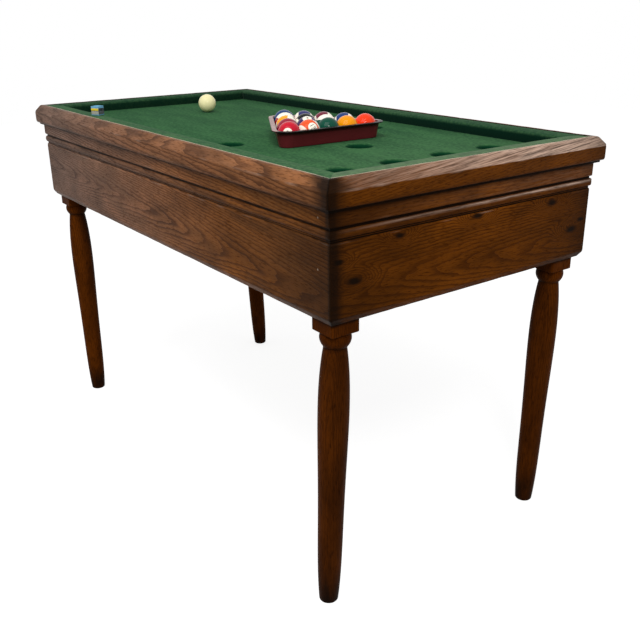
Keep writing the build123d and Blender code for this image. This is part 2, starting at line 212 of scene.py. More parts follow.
class BILLIARD_PG_game(bpy.types.PropertyGroup):
    disc_radius: length("Number disc", "Radius of the white disc on a ball", 10 * MM)
    band_half: length("Band", "Half the width of a striped ball's band", 13.5 * MM)
    digit_height: length("Digit height", "Height of the numbers on the balls", 9.5 * MM)
    rack_clearance: length("Rack clearance", "Gap between the racked balls and the rack", 0.4 * MM)
    rack_wall: length("Rack wall", "Thickness of the rack's wall and flange", 2.6 * MM)
    rack_floor: length("Rack floor", "Thickness of the rack's floor", 3 * MM)
    rack_flange: length("Rack flange", "How far the rack's flange turns out", 8 * MM)
    rack_corner: length("Rack corner", "Inner radius of the rack's corners", 21 * MM)
    rack_draft: length("Rack draft", "How far the rack's walls lean out over their height", 6 * MM)
    rack_foot: length("Rack foot", "Rounding of the rack's lower edge", 2 * MM)
    ball_segments: IntProperty(name="Ball segments", description="Faces around a ball", default=72, min=16)
    ivory: colour("Ivory resin", "Aged resin of the cue ball", "#fff6bd")
    white: colour("White resin", "White of the numbered balls", "#fff8e6")
    ink: colour("Number ink", "Black of the numbers", "#15130f")
    rack: colour("Rack", "Moulded plastic of the rack", "#632125")
    chalk_cake: colour("Chalk", "Pressed chalk", "#6fa9c9")
    label: colour("Label", "Paper band of the chalk", "#d8c02c")
    label_dark: colour("Dark label", "Dark panels of the chalk's paper band", "#2a2d30")
    label_pale: colour("Pale label", "Pale lower half of the chalk's paper band", "#a9a89c")
    label_grey: colour("Grey label", "Grey lower half of the dark panels", "#5c6063")


class BILLIARD_PG_stage(bpy.types.PropertyGroup):
    lens: FloatProperty(name="Lens", description="Focal length on a 36 mm sensor", default=45.12, unit="CAMERA")
    eye: FloatVectorProperty(
        name="Eye", description="Camera's place", subtype="TRANSLATION", default=(1.6317, -1.0641, 1.1058)
    )
    azimuth: FloatProperty(
        name="Azimuth", description="Camera's turn about the table", subtype="ANGLE", default=math.radians(53.82)
    )
    elevation: FloatProperty(
        name="Elevation", description="Camera's downward tilt", subtype="ANGLE", default=math.radians(21.44)
    )
    roll: FloatProperty(name="Roll", description="Camera's lean", subtype="ANGLE", default=math.radians(-0.7))
    floor_span: length("Floor span", "Side of the floor", 14.0)
    ambient: FloatProperty(name="Ambient", description="Strength of the light from all round", default=0.4)
    key_power: FloatProperty(name="Key lamp", description="Power of the overhead lamp", unit="POWER", default=50.0)
    side_power: FloatProperty(name="Side lamp", description="Power of the small side lamp", unit="POWER", default=20.0)
    floor_white: FloatProperty(name="Floor white", description="The floor's own white", default=0.82)
    floor: colour("Floor", "Matt grey of the floor's bounced light", "#b4b4b4")
    shadow: colour("Shadow", "Share of the floor's white that a shadow takes away", "#b4b4b4")


# Meshes


def grid_faces(rows, columns, round_columns=False):
    """Quads of a grid whose vertices are numbered row by row; round_columns joins the last column to the first."""
    across = columns if round_columns else columns - 1
    row, column = np.meshgrid(np.arange(rows - 1), np.arange(across), indexing="ij")
    after = (column + 1) % columns
    quads = [row * columns + column, row * columns + after, (row + 1) * columns + after, (row + 1) * columns + column]
    return np.stack(quads, -1).reshape(-1, 4)


def fan_faces(ring, pole):
    """Triangles that join a closed ring of vertices to one pole."""
    return np.stack([ring, np.roll(ring, -1), np.full_like(ring, pole)], -1)


def tube_faces(rows, columns):
    """Faces of a tube whose rows are closed rings: its quads, then one flat face over each end."""
    first = np.arange(columns)
    return [grid_faces(rows, columns, True), np.stack([first[::-1], (rows - 1) * columns + first])]


def signed_volume(points, faces):
    """Six times the volume that the faces enclose, positive where they point outwards: the sum over fan triangles
    of each face of the product of their corners."""
    total = 0.0
    for group in faces:
        corners = points[np.asarray(group)]
        for step in range(1, corners.shape[1] - 1):
            cross = np.cross(corners[:, step], corners[:, step + 1])
            total += np.einsum("ij,ij->", corners[:, 0], cross)
    return total


def make_piece(name, points, faces, materials, attributes=None, slots=None, sharp=35.0, closed=True):
    """A mesh object at the origin from an array of points and a list of face arrays, turned to point outwards.
    attributes maps a name to one number or one vector for each point, slots gives a material for each face."""
    points = np.asarray(points, float).reshape(-1, 3)
    if closed and signed_volume(points, faces) < 0:
        faces = [np.asarray(group)[:, ::-1] for group in faces]
    mesh = bpy.data.meshes.new(name)
    mesh.from_pydata(points.tolist(), [], [face for group in faces for face in np.asarray(group).tolist()])
    for label, values in (attributes or {}).items():
        values = np.asarray(values, np.float32)
        vector = values.ndim == 2
        layer = mesh.attributes.new(label, "FLOAT_VECTOR" if vector else "FLOAT", "POINT")
        layer.data.foreach_set("vector" if vector else "value", values.ravel())
    for material in materials:
        mesh.materials.append(material)
    if slots is not None:
        mesh.polygons.foreach_set("material_index", np.asarray(slots, np.int32))
    mesh.polygons.foreach_set("use_smooth", np.ones(len(mesh.polygons), bool))
    mesh.set_sharp_from_angle(angle=math.radians(sharp))
    mesh.update()
    piece = bpy.data.objects.new(name, mesh)
    bpy.context.scene.collection.objects.link(piece)
    return piece


def stand_for(piece, body, slot, *nodes):
    """The piece moves with its body and is shown for its nodes, which are hidden. slot is not used."""
    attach(piece, body)
    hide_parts(*nodes)
    return piece


def knocks(places, spacing, seed):
    """Random numbers from 0 to 1 along a line, straight between draws one spacing apart, mostly near 0."""
    draws = np.random.default_rng(seed).random(4096) ** 3
    return np.interp(np.asarray(places) / spacing + 2048, np.arange(4096), draws)


def eased_section(corners, ease, fade, wear_and_highlight, grime, steps=4):
    """Closed section with eased corners. Each corner P becomes the parabola from S to E that is drawn to P, (1-w)^2 S
    + 2w(1-w) P + w^2 E, with S and E the easing back along its two edges. A point one fade further on each edge ends
    the band of wear and painted highlight, or of painted shade and dirt, that the corner carries. Returns points, wear
    and highlight, shade and dirt and, at the corners, the direction into the wood; no bare wood or painted light, no
    seam and no fading yet."""
    corner = np.asarray(corners, float)
    ease = np.broadcast_to(np.asarray(ease, float), len(corner))[:, None]
    forward = np.roll(corner, -1, 0) - corner
    span = np.linalg.norm(forward, axis=1, keepdims=True)
    forward = forward / span
    backward = -np.roll(forward, 1, 0)
    room = np.minimum(fade, 0.45 * (span - ease - np.roll(ease, -1, 0)))
    start = corner + backward * ease
    end = corner + forward * ease
    before = start + backward * np.roll(room, 1, 0)
    after = end + forward * room
    w = np.linspace(0, 1, steps)[None, :, None]
    arc = (1 - w) ** 2 * start[:, None] + 2 * w * (1 - w) * corner[:, None] + w**2 * end[:, None]
    points = np.concatenate([before[:, None], arc, after[:, None]], 1)
    on_arc = np.ones((1, steps + 2))
    on_arc[:, [0, -1]] = 0
    inward = forward + backward
    inward /= np.maximum(np.linalg.norm(inward, axis=1, keepdims=True), 1e-9)
    turn = np.sign(forward[:, 0] * backward[:, 1] - forward[:, 1] * backward[:, 0])[:, None]
    inward = (inward * turn)[:, None] * on_arc[..., None]
    return {
        "points": points.reshape(-1, 2),
        "wear_and_highlight": (np.asarray(wear_and_highlight, float)[:, None] * on_arc).ravel(),
        "grime": (np.asarray(grime, float)[:, None] * on_arc).ravel(),
        "inward": inward.reshape(-1, 2),
        "bare_and_lit": np.zeros(points.shape[0] * points.shape[1]),
        "seam": np.zeros(points.shape[0] * points.shape[1]),
        "faded": 0.0,
    }


def grain_place(log, place, height, offset):
    """Where a point of a board lies in its tree: along the trunk, and up and out from its heart."""
    shift, heart_height, heart_offset, drift_height, drift_offset = log
    up = height - heart_height - drift_height * place
    out = offset - heart_offset - drift_offset * place
    return np.stack([place + shift, up, out], -1)


def side_points(side, offset, place, height):
    """Points at an outward offset from a side's apron face, a place along the side and a height."""
    outward, across, _ = SIDES[side]
    along = np.cross(outward, UP)
    return outward * (across + offset)[..., None] + along * place[..., None] + UP * height[..., None]


def mitred_strip(kind, side, section, reach, clip, settings, material):
    """One side of a mitred frame: a section of outward offset and height, carried along its side. A point at
    offset o runs to half the run plus o, where the mitre lies, and the outermost ones turn off over the corner's
    clip. The last rows but these keep parallel to the mitre, so that dirt can end close to it. Edges are knocked in
    by random depths. Dirt fills the mitres' joints and has crept into the wood beside them, and the wood darkens
    towards them, most at the corner between the front and the cups' end."""
    node = f"{kind}_{side}"
    name = f"{node}_oak"
    run = SIDES[side][2]
    offset, height = section["points"].T
    seed = RANDOM_SEED + sum(map(ord, name))
    diagonal = np.minimum(offset, reach - clip / 2)
    shoulder = run + np.minimum(offset, reach) - max(clip, settings.corner_clip)
    inner_end = run + min(offset.min(), 0) - 2 * settings.station - clip
    inner = np.linspace(-inner_end, inner_end, int(2 * inner_end / settings.station))
    inner = np.broadcast_to(inner[:, None], (len(inner), len(offset)))
    parallel = shoulder - np.array(MITRE_ROWS)[:, None] * MM
    right_end = np.vstack([parallel[::-1], shoulder, run + diagonal])
    place = np.vstack([-right_end[::-1], inner, right_end])
    offsets = np.vstack([diagonal, np.broadcast_to(offset, (len(place) - 2, len(offset))), diagonal])
    depth = knocks(place, KNOCK_STATIONS * settings.station, seed) * settings.arris_dent * (section["wear_and_highlight"] > 0)
    offsets = offsets + depth * section["inward"][:, 0]
    heights = height + depth * section["inward"][:, 1]
    points = side_points(side, offsets, place, heights)
    grain = grain_place(LOGS[node], place, heights, offsets)
    near_corner = (points[..., X] > 0) & (points[..., Y] < 0)
    from_mitre = np.maximum(run + offsets - np.abs(place), 0)
    filled = np.where(near_corner, JOINT_DIRT[kind], FAR_JOINT_DIRT) * np.exp(-((from_mitre / JOINT_WIDTH) ** 2))
    # On the right rail dirt has crept further at the foot of the slope than at its top, on the others less far
    gain, on_face = CREEP.get(side, CREEP["front"])
    sloping = np.clip((rail_top - height) / settings.slope_drop, 0, 1)
    crept = SOAK.get(node, SOAK[kind]) * np.where(sloping < 1, 1 + gain * (sloping - 0.5), on_face)
    stain = np.where(near_corner, NEAR_STAIN, FAR_STAIN) * np.exp(-((from_mitre / crept) ** 4))
    near_depth, near_reach, far_depth, far_reach = PATINA[kind][side == "right"]
    patina_and_shade = np.where(
        near_corner, near_depth * np.exp(-from_mitre / near_reach), far_depth * np.exp(-from_mitre / far_reach)
    )
    # Painted shade in the recesses, as strong as each side's share, and a darker line along the seam of the back and
    # left rails
    recess = section["grime"] * RECESS_SHADE[side] + section["seam"] * (side in ("back", "left"))
    along_table = points[..., X]
    sunlit = section["faded"] * (side in ("front", "back")) * np.interp(along_table, *SUNLIT)
    scuff = knocks(place, SCUFF_STATIONS * settings.station, seed + 1)
    # Paler tops: rubbed bare, and on the right rail also painted light that grows towards the back
    paling = np.interp(points[..., Y] if side == "right" else -np.abs(place), PALING_SPAN, PALING[side])
    attributes = {
        "grain": grain.reshape(-1, 3),
        "wear_and_highlight": (section["wear_and_highlight"] * (LEAST_WEAR + SCUFF_WEAR * scuff) * RUBBED[side]).ravel(),
        "bare_and_lit": (section["bare_and_lit"] * paling).ravel(),
        "faded": np.maximum(np.interp(along_table, FADED_SPAN, FADED[side]), sunlit).ravel(),
        "seam": (section["seam"] * (side in ("front", "right")) + np.zeros(place.shape)).ravel(),
        "grime": np.maximum(recess, filled).ravel(),
        "patina_and_shade": np.maximum(stain, patina_and_shade).ravel(),
    }
    return make_piece(name, points, tube_faces(*place.shape), [material], attributes)


# Materials


def add(tree, kind, inputs=None, **settings):
    """Add one shader node with its settings. inputs maps a socket's name or number to a value, to another socket or
    to another node, of which the first output in use is meant."""
    node = tree.nodes.new("ShaderNode" + kind)
    for name, value in settings.items():
        setattr(node, name, value)
    for socket, value in (inputs or {}).items():
        if isinstance(value, bpy.types.Node):
            value = next(output for output in value.outputs if output.enabled)
        if isinstance(value, bpy.types.NodeSocket):
            tree.links.new(value, node.inputs[socket])
        else:
            node.inputs[socket].default_value = value
    return node


def start_material(name):
    """A new material with its tree and its main shader."""
    material = bpy.data.materials.new(name)
    material.use_nodes = True
    shader = next(node for node in material.node_tree.nodes if node.type == "BSDF_PRINCIPLED")
    return material, material.node_tree, shader


def solid(rgb, strength=1.0):
    """A colour setting, made stronger or weaker, with full cover."""
    return (*(min(strength * part, 1.0) for part in rgb), 1.0)


def fumed_oak(name, early, late, tint, gloss, ring_width, figure, settings, knots=(), fillers=()):
    """Oak boards darkened with age under thin shellac. The eye sees growth rings cut into arches, short dark pores in
    the open wood of each ring, greyer and warmer patches, near-black painted shade in recesses with dirt in the
    joints, bare edges with painted highlights, and pale painted light where a board is lightened. figure is how
    strongly the rings show. knots and fillers hold places in the tree with a radius: a knot is near black, a filler a
    dot of pale putty."""
    material, tree, shader = start_material(name)
    grain = add(tree, "Attribute", attribute_name="grain").outputs["Vector"]
    mark = {
        label: add(tree, "Attribute", attribute_name=label).outputs["Fac"]
        for label in ("faded", "bare_and_lit", "wear_and_highlight", "patina_and_shade", "seam", "grime")
    }
    # Noises in the tree: cycles per metre along the trunk and across it, and detail. Pores are a fifth of a
    # millimetre wide; they are drawn 1.3 mm wide and 16 mm long, to show in the picture
    noise = {}
    for label, along, across, detail in (
        ("wander", 2.6, 16.0, 2.0),
        ("ripple", 22.0, 90.0, 2.0),
        ("patch", 3.5, 13.0, 3.0),
        ("pores", 62.0, 760.0, 1.0),
        ("polish", 9.0, 26.0, 3.0),
        ("blotch", 15.0, 60.0, 3.0),
        ("streak", 10.0, 430.0, 2.0),
    ):
        place = add(tree, "Mapping", {"Vector": grain, "Scale": (along, across, across)}, vector_type="POINT")
        noise[label] = add(tree, "TexNoise", {"Vector": place, "Scale": 1.0, "Detail": detail})
    # The fibres wander by several millimetres over most of a metre, and again by one over a few centimetres
    warped = grain
    for label, swing in (("wander", 17 * MM), ("ripple", 3.4 * MM)):
        warped = add(
            tree,
            "VectorMath",
            {0: noise[label].outputs["Color"], 1: (0.0, swing, swing), 2: warped},
            operation="MULTIPLY_ADD",
        )
    if knots:
        # A knot's edge is ragged: its distance is taken from a place shaken by the ripple noise, half on average
        shake = np.array((9.0, 6.0, 6.0)) * MM
        shaken = add(
            tree,
            "VectorMath",
            {0: noise["ripple"].outputs["Color"], 1: tuple(shake), 2: grain},
            operation="MULTIPLY_ADD",
        )
    knot_dark = None
    for place, radius in knots:
        # A knot pushes the rings aside around it; it is drawn out along the grain and near black in its middle
        away = add(tree, "VectorMath", {0: shaken, 1: tuple(place + shake / 2)}, operation="SUBTRACT")
        away = add(tree, "VectorMath", {0: away, 1: (0.42, 1.0, 1.0)}, operation="MULTIPLY")
        reach = add(tree, "VectorMath", {0: away}, operation="LENGTH")
        swirl = add(
            tree,
            "MapRange",
            {"Value": reach, "From Max": 5 * radius, "To Min": 3.2 * radius, "To Max": 0.0},
            interpolation_type="SMOOTHERSTEP",
        )
        push = add(tree, "CombineXYZ", {"Y": swirl, "Z": swirl})
        warped = add(tree, "VectorMath", {0: warped, 1: push}, operation="ADD")
        core = add(
            tree,
            "MapRange",
            {"Value": reach, "From Min": 0.35 * radius, "From Max": 1.5 * radius, "To Min": 0.95, "To Max": 0.0},
            interpolation_type="SMOOTHSTEP",
        )
        if knot_dark is not None:
            core = add(tree, "Math", {0: knot_dark, 1: core}, operation="MAXIMUM")
        knot_dark = core
    # Wave's rings repeat every pi / 10 of its own units
    rings = add(
        tree,
        "TexWave",
        {"Vector": warped, "Scale": math.pi / 10 / ring_width},
        wave_type="RINGS",
        rings_direction="X",
        wave_profile="SAW",
    )
    opened = add(
        tree,
        "MapRange",
        {"Value": rings.outputs["Fac"], "From Min": 0.05, "From Max": 0.6, "To Min": 1.0, "To Max": 0.0},
        interpolation_type="SMOOTHSTEP",
    )
    # The rings stand out more or less in patches tens of centimetres long
    contrast = add(
        tree,
        "MapRange",
        {"Value": noise["patch"], "From Min": 0.3, "From Max": 0.7, "To Min": figure, "To Max": figure / 2},
    )
    ringed = add(tree, "Math", {0: opened, 1: contrast}, operation="MULTIPLY")
    patched = add(
        tree,
        "MapRange",
        {"Value": noise["patch"], "From Min": 0.42, "From Max": 0.72, "To Max": 0.75},
        interpolation_type="SMOOTHSTEP",
    )
    pits = add(
        tree,
        "MapRange",
        {"Value": noise["pores"], "From Min": 0.5, "From Max": 0.72, "To Max": 0.8},
        interpolation_type="SMOOTHSTEP",
    )
    wood = solid(late)
    for share, rgb in ((patched, tint), (ringed, early), (pits, early)):
        wood = add(tree, "Mix", {0: share, 6: wood, 7: solid(rgb)}, data_type="RGBA")
    # Light has faded some boards towards grey, and old polish lies thicker and thinner in clouds of a hand's breadth
    left_over = add(tree, "MapRange", {"Value": mark["faded"], "To Min": 1.0, "To Max": 0.68})
    dimmed = add(tree, "MapRange", {"Value": mark["faded"], "To Min": 1.0, "To Max": 0.84})
    polish = add(
        tree,
        "MapRange",
        {"Value": noise["polish"], "From Min": 0.3, "From Max": 0.7, "To Min": 0.68, "To Max": 1.32},
    )
    polish = add(tree, "Math", {0: polish, 1: dimmed}, operation="MULTIPLY")
    wood = add(tree, "HueSaturation", {"Saturation": left_over, "Value": polish, "Color": wood})
    # Where the polish is gone, and where painted light lightens a board, the wood shows its pores and fine streaks as
    # pale greys
    worked = add(tree, "Math", {0: pits, 1: 0.12, 2: noise["streak"]}, operation="MULTIPLY_ADD")
    tone = add(tree, "MapRange", {"Value": worked, "From Min": 0.38, "From Max": 0.68, "To Min": 1.42, "To Max": 0.3})
    pale = add(tree, "Mix", {0: 1.0, 6: solid(settings.worn), 7: tone}, data_type="RGBA", blend_type="MULTIPLY")
    # Wear with its painted highlights, and painted shade with dirt, come from the piece, broken up by blotches of
    # several centimetres
    broken = add(
        tree,
        "MapRange",
        {"Value": noise["blotch"], "From Min": 0.3, "From Max": 0.62, "To Min": 0.75, "To Max": 1.1},
    )
    paled = add(tree, "Math", {0: mark["bare_and_lit"], 1: broken}, operation="MULTIPLY", use_clamp=True)
    rubbed_and_lit = add(tree, "Math", {0: mark["wear_and_highlight"], 1: noise["blotch"]}, operation="MULTIPLY")
    rubbed_and_lit = add(tree, "MapRange", {"Value": rubbed_and_lit, "From Min": 0.12, "From Max": 0.55, "To Max": 0.85})
    raw_line = add(tree, "MapRange", {"Value": mark["seam"], "From Min": 0.3, "From Max": 0.6, "To Max": 0.85})
    darkening_share = add(tree, "Math", {0: mark["grime"], 1: 1.25, 2: noise["blotch"]}, operation="MULTIPLY_ADD")
    darkening_share = add(tree, "MapRange", {"Value": darkening_share, "From Min": 0.62, "From Max": 1.35, "To Max": 0.94})
    # What lies over the wood, from below: knots, bare wood and painted light, rubbed edges with painted highlights,
    # the even darkening of hands and polish with painted shade on the legs' inner sides, a thin line of raw edge
    # beside the cloth, painted shade in the recesses with dirt in the joints, and putty
    near_black = solid(settings.grime)
    layers = [(knot_dark, near_black)] if knots else []
    layers += [
        (paled, pale),
        (rubbed_and_lit, solid(settings.worn)),
        (mark["patina_and_shade"], near_black),
        (raw_line, solid(settings.raw_edge)),
        (darkening_share, near_black),
    ]
    for place, radius in fillers:
        reach = add(tree, "VectorMath", {0: grain, 1: tuple(place)}, operation="DISTANCE")
        dot = add(
            tree,
            "MapRange",
            {"Value": reach, "From Min": 0.6 * radius, "From Max": radius, "To Min": 0.6, "To Max": 0.0},
        )
        layers.append((dot, solid(settings.putty)))
    for share, cover in layers:
        wood = add(tree, "Mix", {0: share, 6: wood, 7: cover}, data_type="RGBA")
    tree.links.new(wood.outputs[2], shader.inputs["Base Color"])
    dull = add(tree, "MapRange", {"Value": pits, "From Max": 0.8, "To Min": 0.42, "To Max": 0.62})
    tree.links.new(dull.outputs[0], shader.inputs["Roughness"])
    raised = add(tree, "Math", {0: pits, 1: -1.0, 2: ringed}, operation="MULTIPLY_ADD")
    bump = add(tree, "Bump", {"Strength": 0.35, "Distance": 0.5 * MM, "Height": raised})
    tree.links.new(bump.outputs[0], shader.inputs["Normal"])
    shader.inputs["Specular IOR Level"].default_value = gloss
    return material


def wool_baize(name, nap, shade, hole, dust):
    """Felted wool cloth, brushed. The eye sees a soft matt green with a fine mealy grain, faint broad shading where
    the nap lies the other way, a paler bloom at low angles, dust where hands lean, and painted shade with some soil in
    the pockets, under the cushions' noses and on the far cushions' tops."""
    material, tree, shader = start_material(name)
    place = add(tree, "TexCoord").outputs["Object"]
    # The nap's tufts are under a millimetre; they are drawn 7 mm across, to show in the picture
    tufts = add(tree, "TexNoise", {"Vector": place, "Scale": 1 / (7 * MM), "Detail": 3.0})
    brushed = add(tree, "Mapping", {"Vector": place, "Scale": (6.0, 22.0, 22.0)}, vector_type="POINT")
    brushed = add(tree, "TexNoise", {"Vector": brushed, "Scale": 1.0, "Detail": 4.0})
    lay = add(tree, "Math", {0: brushed, 1: 0.5, 2: tufts}, operation="MULTIPLY_ADD")
    lay = add(tree, "MapRange", {"Value": lay, "From Min": 0.62, "From Max": 0.88})
    cloth = add(tree, "Mix", {0: lay, 6: solid(shade), 7: solid(nap)}, data_type="RGBA")
    # Dust, then painted shade with some soil in the pockets and on the cushions
    for label, cover in (("dusted", dust), ("shade_and_soil", hole)):
        share = add(tree, "Attribute", attribute_name=label).outputs["Fac"]
        cloth = add(tree, "Mix", {0: share, 6: cloth, 7: solid(cover)}, data_type="RGBA")
    tree.links.new(cloth.outputs[2], shader.inputs["Base Color"])
    bump = add(tree, "Bump", {"Strength": 0.4, "Distance": 0.6 * MM, "Height": tufts})
    tree.links.new(bump.outputs[0], shader.inputs["Normal"])
    shader.inputs["Roughness"].default_value = 0.95
    shader.inputs["Specular IOR Level"].default_value = 0.05
    shader.inputs["Sheen Weight"].default_value = 0.06
    shader.inputs["Sheen Roughness"].default_value = 0.45
    shader.inputs["Sheen Tint"].default_value = (0.55, 0.85, 0.62, 1.0)
    return material


def sawn_pine():
    """Plain sawn pine of the hidden frame. The eye sees an old brown board with wide soft rings and saw fuzz."""
    material, tree, shader = start_material("sawn_pine")
    place = add(tree, "TexCoord").outputs["Object"]
    board = add(tree, "Mapping", {"Vector": place, "Scale": (0.6, 6.0, 22.0)}, vector_type="POINT")
    wander = add(tree, "TexNoise", {"Vector": board, "Scale": 2.0, "Detail": 3.0})
    rings = add(tree, "TexWave", {"Vector": board, "Scale": 2.4, "Distortion": 5.0}, bands_direction="Y")
    tone = add(tree, "Math", {0: rings.outputs["Fac"], 1: wander}, operation="MULTIPLY")
    pale, dark = solid(srgb("#55402c")), solid(srgb("#36271a"))
    wood = add(tree, "Mix", {0: tone, 6: pale, 7: dark}, data_type="RGBA")
    tree.links.new(wood.outputs[2], shader.inputs["Base Color"])
    fuzz = add(tree, "TexNoise", {"Vector": place, "Scale": 1 / (4 * MM), "Detail": 3.0})
    bump = add(tree, "Bump", {"Strength": 0.4, "Distance": 0.5 * MM, "Height": fuzz})
    tree.links.new(bump.outputs[0], shader.inputs["Normal"])
    shader.inputs["Roughness"].default_value = 0.85
    return material


def stained_beech():
    """Turned beech cups stained green. The eye sees a dark, nearly black green with faint turning lines."""
    material, tree, shader = start_material("stained_beech")
    place = add(tree, "TexCoord").outputs["Object"]
    flecks = add(tree, "TexNoise", {"Vector": place, "Scale": 1 / (6 * MM), "Detail": 3.0})
    dark, pale = solid(srgb("#12291c")), solid(srgb("#24442f"))
    stain = add(tree, "Mix", {0: flecks, 6: dark, 7: pale}, data_type="RGBA")
    tree.links.new(stain.outputs[2], shader.inputs["Base Color"])
    turned = add(tree, "Mapping", {"Vector": place, "Scale": (1.0, 1.0, 700.0)}, vector_type="POINT")
    turned = add(tree, "TexNoise", {"Vector": turned, "Scale": 1.0})
    bump = add(tree, "Bump", {"Strength": 0.3, "Distance": 0.4 * MM, "Height": turned})
    tree.links.new(bump.outputs[0], shader.inputs["Normal"])
    shader.inputs["Roughness"].default_value = 0.7
    return material


def dulled_steel():
    """Plain steel bolts, dulled. The eye sees grey metal with brown bloom."""
    material, tree, shader = start_material("dulled_steel")
    place = add(tree, "TexCoord").outputs["Object"]
    bloom = add(tree, "TexNoise", {"Vector": place, "Scale": 1 / (5 * MM), "Detail": 4.0})
    grey, brown = solid(srgb("#8b8a86")), solid(srgb("#5d4a3c"))
    metal = add(tree, "Mix", {0: bloom, 6: grey, 7: brown}, data_type="RGBA")
    tree.links.new(metal.outputs[2], shader.inputs["Base Color"])
    dull = add(tree, "MapRange", {"Value": bloom, "To Min": 0.35, "To Max": 0.7})
    tree.links.new(dull.outputs[0], shader.inputs["Roughness"])
    shader.inputs["Metallic"].default_value = 0.9
    return material


def cast_resin(name, rgb, white, settings, striped=False, numbered=True):
    """Cast and polished resin. The eye sees a deep even colour, a sharp gloss and the ivory of the discs and caps.
    The caps lie past the band along the ball's own Z, the discs past their rim along its own X."""
    material, tree, shader = start_material(name)
    turned = add(tree, "Attribute", attribute_name="turned").outputs["Vector"]
    parts = add(tree, "SeparateXYZ", {0: turned})
    place = add(tree, "TexCoord").outputs["Object"]
    cloud = add(tree, "TexNoise", {"Vector": place, "Scale": 1 / (14 * MM), "Detail": 4.0})
    body = add(tree, "Mix", {0: cloud, 6: solid(rgb, 0.92), 7: solid(rgb)}, data_type="RGBA")
    rim = math.sqrt(ball_radius**2 - settings.disc_radius**2)
    borders = [("Z", settings.band_half, 0.2 * MM)] if striped else []
    borders += [("X", rim, 0.06 * MM)] if numbered else []
    for axis, border, blur in borders:
        away = add(tree, "Math", {0: parts.outputs[axis]}, operation="ABSOLUTE")
        past = add(tree, "MapRange", {"Value": away, "From Min": border - blur, "From Max": border + blur})
        body = add(tree, "Mix", {0: past, 6: body, 7: solid(white)}, data_type="RGBA")
    tree.links.new(body.outputs[2], shader.inputs["Base Color"])
    scuffs = add(tree, "TexNoise", {"Vector": place, "Scale": 1 / (9 * MM), "Detail": 5.0})
    polish = add(
        tree, "MapRange", {"Value": scuffs, "From Min": 0.35, "From Max": 0.8, "To Min": 0.03, "To Max": 0.08}
    )
    tree.links.new(polish.outputs[0], shader.inputs["Roughness"])
    shader.inputs["Specular IOR Level"].default_value = 0.13
    return material


def printed_ink(name, rgb):
    """Ink inlaid in the ball. The eye sees glossy black."""
    material, tree, shader = start_material(name)
    place = add(tree, "TexCoord").outputs["Object"]
    speck = add(tree, "TexNoise", {"Vector": place, "Scale": 1 / (2 * MM)})
    tone = add(tree, "Mix", {0: speck, 6: solid(rgb), 7: solid(rgb, 1.6)}, data_type="RGBA")
    tree.links.new(tone.outputs[2], shader.inputs["Base Color"])
    shader.inputs["Roughness"].default_value = 0.2
    return material


def moulded_styrene(rgb):
    """Moulded plastic rack. The eye sees an even maroon with a soft gloss and fine scratches, a painted highlight on
    the far sides of the flange's top, and painted shade under and round the flange.
    """
    material, tree, shader = start_material("moulded_styrene")
    place = add(tree, "TexCoord").outputs["Object"]
    cloud = add(tree, "TexNoise", {"Vector": place, "Scale": 1 / (25 * MM), "Detail": 5.0})
    body = add(tree, "Mix", {0: cloud, 6: solid(rgb, 0.8), 7: solid(rgb, 1.15)}, data_type="RGBA")
    wear_and_highlight, grime = (add(tree, "Attribute", attribute_name=label).outputs["Fac"] for label in ("wear_and_highlight", "grime"))
    flange_highlight = add(tree, "Math", {0: wear_and_highlight, 1: cloud}, operation="MULTIPLY")
    # A pale painted highlight on the far sides of the flange's top, and near-black painted shade under and round the
    # flange
    for share, code in ((flange_highlight, "#c0aaa4"), (grime, "#0d0606")):
        body = add(tree, "Mix", {0: share, 6: body, 7: solid(srgb(code))}, data_type="RGBA")
    tree.links.new(body.outputs[2], shader.inputs["Base Color"])
    dull = add(tree, "MapRange", {"Value": cloud, "To Min": 0.25, "To Max": 0.45})
    tree.links.new(dull.outputs[0], shader.inputs["Roughness"])
    shader.inputs["Specular IOR Level"].default_value = 0.15
    return material


def pressed_chalk(rgb):
    """Pressed cue chalk. The eye sees a dry powdery blue, paler where it was rubbed."""
    material, tree, shader = start_material("pressed_chalk")
    place = add(tree, "TexCoord").outputs["Object"]
    grit = add(tree, "TexNoise", {"Vector": place, "Scale": 1 / (1.6 * MM), "Detail": 4.0})
    powder = add(tree, "Mix", {0: grit, 6: solid(rgb, 0.7), 7: solid(rgb, 1.2)}, data_type="RGBA")
    tree.links.new(powder.outputs[2], shader.inputs["Base Color"])
    bump = add(tree, "Bump", {"Strength": 0.5, "Distance": 0.3 * MM, "Height": grit})
    tree.links.new(bump.outputs[0], shader.inputs["Normal"])
    shader.inputs["Roughness"].default_value = 0.95
    shader.inputs["Specular IOR Level"].default_value = 0.1
    return material


